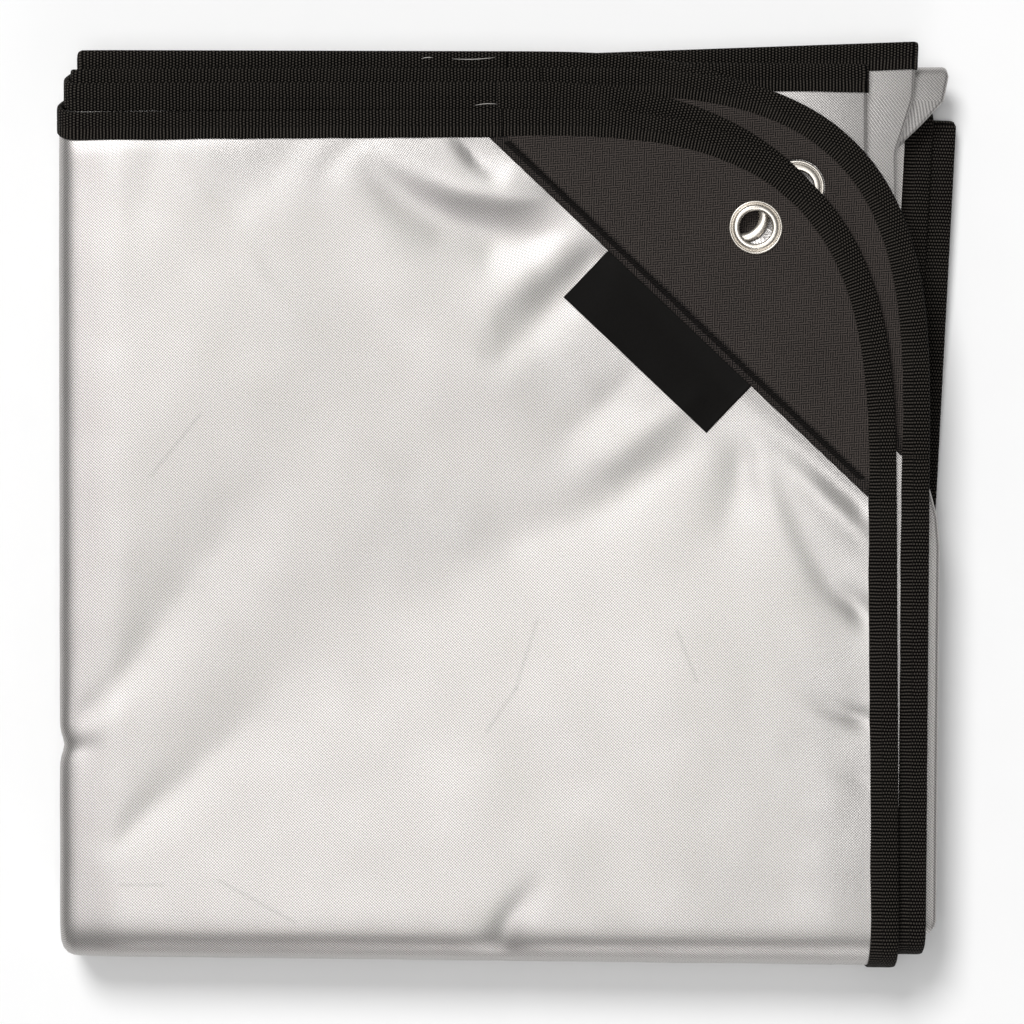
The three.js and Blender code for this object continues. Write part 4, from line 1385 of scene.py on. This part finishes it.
class COVER_OT_stitching(bpy.types.Operator):
    """Sews the binding and the diagonal seam, and leaves the thread ends that show."""

    bl_idname = "cover.stitching"
    bl_label = "Stitching"

    def execute(self, context):
        sizes = context.scene.cover_sizes
        colours = context.scene.cover_colours
        pitch = sizes.stitch / MM
        face = sewn_base(sizes) + sizes.tape / MM
        rows = []
        for edge in bound_edges():
            for side in (1, -1):
                path = edge.line(STITCH_LINE, side * (face - TAPE_STITCH["sunk"]))
                normals = edge.line(STITCH_LINE, side * (face + TAPE_STITCH["up"])) - path
                rows.append((path, normals))
        length = pitch * TAPE_STITCH["share"]
        binding = stitches(rows, pitch, length, TAPE_STITCH["radius"], TAPE_STITCH["seed"])
        seam = stitches(self.seam(sizes), **SEAM_STITCH)
        ends = thread_ends(face + THREAD_END["lift"])
        sewn = (
            ("binding_stitches", binding, "black_thread", colours.thread, "black_webbing"),
            ("seam_stitches", seam, "seam_thread", colours.seam_thread, "dark_canvas"),
            ("thread_ends", ends, "pale_thread", colours.pale_thread, "black_webbing"),
        )
        for name, shape, thread, colour, slot in sewn:
            add_piece(name, *shape, sewing_thread(thread, colour), slot)
        self.declare(context.scene.objects)
        return {"FINISHED"}

    @staticmethod
    def declare(pieces):
        """Works out the flat cloth's lengths along its two middle lines; nothing is done with them."""
        flat = [round(float(lengths[-1]), 3) for lengths in flat_lengths()]

    @staticmethod
    def seam(sizes):
        """A dense slanted row on the hem of the top patch."""
        left, right = seam_line(0, 0)
        share = np.linspace(*SEAM_ENDS, SEAM_POINTS)[:, None]
        inward = unit(np.array((1.0, 1.0))) * SEAM_ROW
        height = sewn_base(sizes) + sizes.patch / MM + HEM["height"]
        line = left + (right - left) * share + inward
        path = on_corner(0, 0, line[:, 0], line[:, 1], np.full(len(line), height))
        return [(path, np.tile((0.0, 0.0, 1.0), (len(path), 1)))]


# Soft round lights: place and width in metres, power in watts
LIGHTS = (
    ("key", (-2.21, 4.15, 6.47), 3.0, 390.0),
    ("over", (-0.2, -0.9, 8.0), 3.75, 150.0),
    ("left_fill", (-2.64, 0.71, 7.5), 3.75, 66.0),
    ("low_fill", (0.56, -3.2, 1.31), 1.5, 18.0),
)
WORLD = 0.18  # strength of the white surroundings
# The camera: focal length, sensor, its place over the top and the size of a pixel there in millimetres, the
# pixels across the picture, and how far it sees in metres
CAMERA = {"lens": 150.0, "sensor": 36.0, "place": (1.8, -3.6), "pixels": 1024, "pixel": 0.45, "reach": 20.0}
FLOOR = {"reach": 3.0, "below": 0.0002, "greys": (0.95, 0.97), "speck": 40.0, "rough": 0.9}


class COVER_OT_stage(bpy.types.Operator):
    """Sets the pale floor, the soft light and the camera straight above."""

    bl_idname = "cover.stage"
    bl_label = "Stage"

    def execute(self, context):
        scene = context.scene
        self.floor()
        for name, place, size, power in LIGHTS:
            self.light(name, place, size, power)
        world = bpy.data.worlds.new("studio")
        world.use_nodes = True
        world.node_tree.nodes["Background"].inputs[0].default_value = (1.0, 1.0, 1.0, 1.0)
        world.node_tree.nodes["Background"].inputs[1].default_value = WORLD
        scene.world = world
        scene.view_settings.view_transform = "Standard"
        camera = bpy.data.cameras.new("above")
        camera.lens = CAMERA["lens"]
        camera.sensor_width = CAMERA["sensor"]
        camera.clip_end = CAMERA["reach"]
        view = bpy.data.objects.new("above", camera)
        scene.collection.objects.link(view)
        wide = CAMERA["pixels"] * CAMERA["pixel"]
        distance = wide * camera.lens / camera.sensor_width
        x, y = (place - middle for place, middle in zip(CAMERA["place"], CENTRE))
        view.location = Vector((x, y, HEIGHT + distance)) * MM
        scene.camera = view
        return {"FINISHED"}

    @staticmethod
    def floor():
        surface = Surface("pale_floor")
        speck = surface.noise(surface.room(), FLOOR["speck"])
        colour = surface.mix(speck, *((grey, grey, grey, 1.0) for grey in FLOOR["greys"]))
        material = surface.finish(Base_Color=colour, Roughness=FLOOR["rough"])
        reach = FLOOR["reach"]
        mesh = bpy.data.meshes.new("floor")
        corners = [(-reach, -reach, 0), (reach, -reach, 0), (reach, reach, 0), (-reach, reach, 0)]
        mesh.from_pydata(corners, [], [(0, 1, 2, 3)])
        mesh.materials.append(material)
        floor = bpy.data.objects.new("floor", mesh)
        floor.location.z = -FLOOR["below"]
        bpy.context.scene.collection.objects.link(floor)

    @staticmethod
    def light(name, place, size, power):
        lamp = bpy.data.lights.new(name, "AREA")
        lamp.shape = "DISK"
        lamp.size = size
        lamp.energy = power
        lit = bpy.data.objects.new(name, lamp)
        lit.location = place
        lit.rotation_euler = (-Vector(place)).to_track_quat("-Z", "Y").to_euler()
        bpy.context.scene.collection.objects.link(lit)


OPERATORS = (
    COVER_OT_cloth,
    COVER_OT_binding,
    COVER_OT_patches,
    COVER_OT_eyelets,
    COVER_OT_label,
    COVER_OT_stitching,
    COVER_OT_stage,
)


class VIEW3D_PT_cover(bpy.types.Panel):
    """The cover's sizes, colours and pieces."""

    bl_label = "Folded cover"
    bl_space_type = "VIEW_3D"
    bl_region_type = "UI"
    bl_category = "Cover"

    def draw(self, context):
        layout = self.layout
        for group in (context.scene.cover_sizes, context.scene.cover_colours):
            for name in group.bl_rna.properties.keys():
                if name not in {"rna_type", "name"}:
                    layout.prop(group, name)
        for operator in OPERATORS:
            layout.operator(operator.bl_idname)


CLASSES = (CoverSizes, CoverColours, *OPERATORS, VIEW3D_PT_cover)


def register():
    for cls in CLASSES:
        bpy.utils.register_class(cls)
    bpy.types.Scene.cover_sizes = bpy.props.PointerProperty(type=CoverSizes)
    bpy.types.Scene.cover_colours = bpy.props.PointerProperty(type=CoverColours)


def unregister():
    del bpy.types.Scene.cover_colours
    del bpy.types.Scene.cover_sizes
    for cls in reversed(CLASSES):
        bpy.utils.unregister_class(cls)


def main():
    register()
    bpy.ops.cover.cloth()
    bpy.ops.cover.binding()
    bpy.ops.cover.patches()
    bpy.ops.cover.eyelets()
    bpy.ops.cover.label()
    bpy.ops.cover.stitching()
    bpy.ops.cover.stage()


if __name__ == "__main__":
    main()
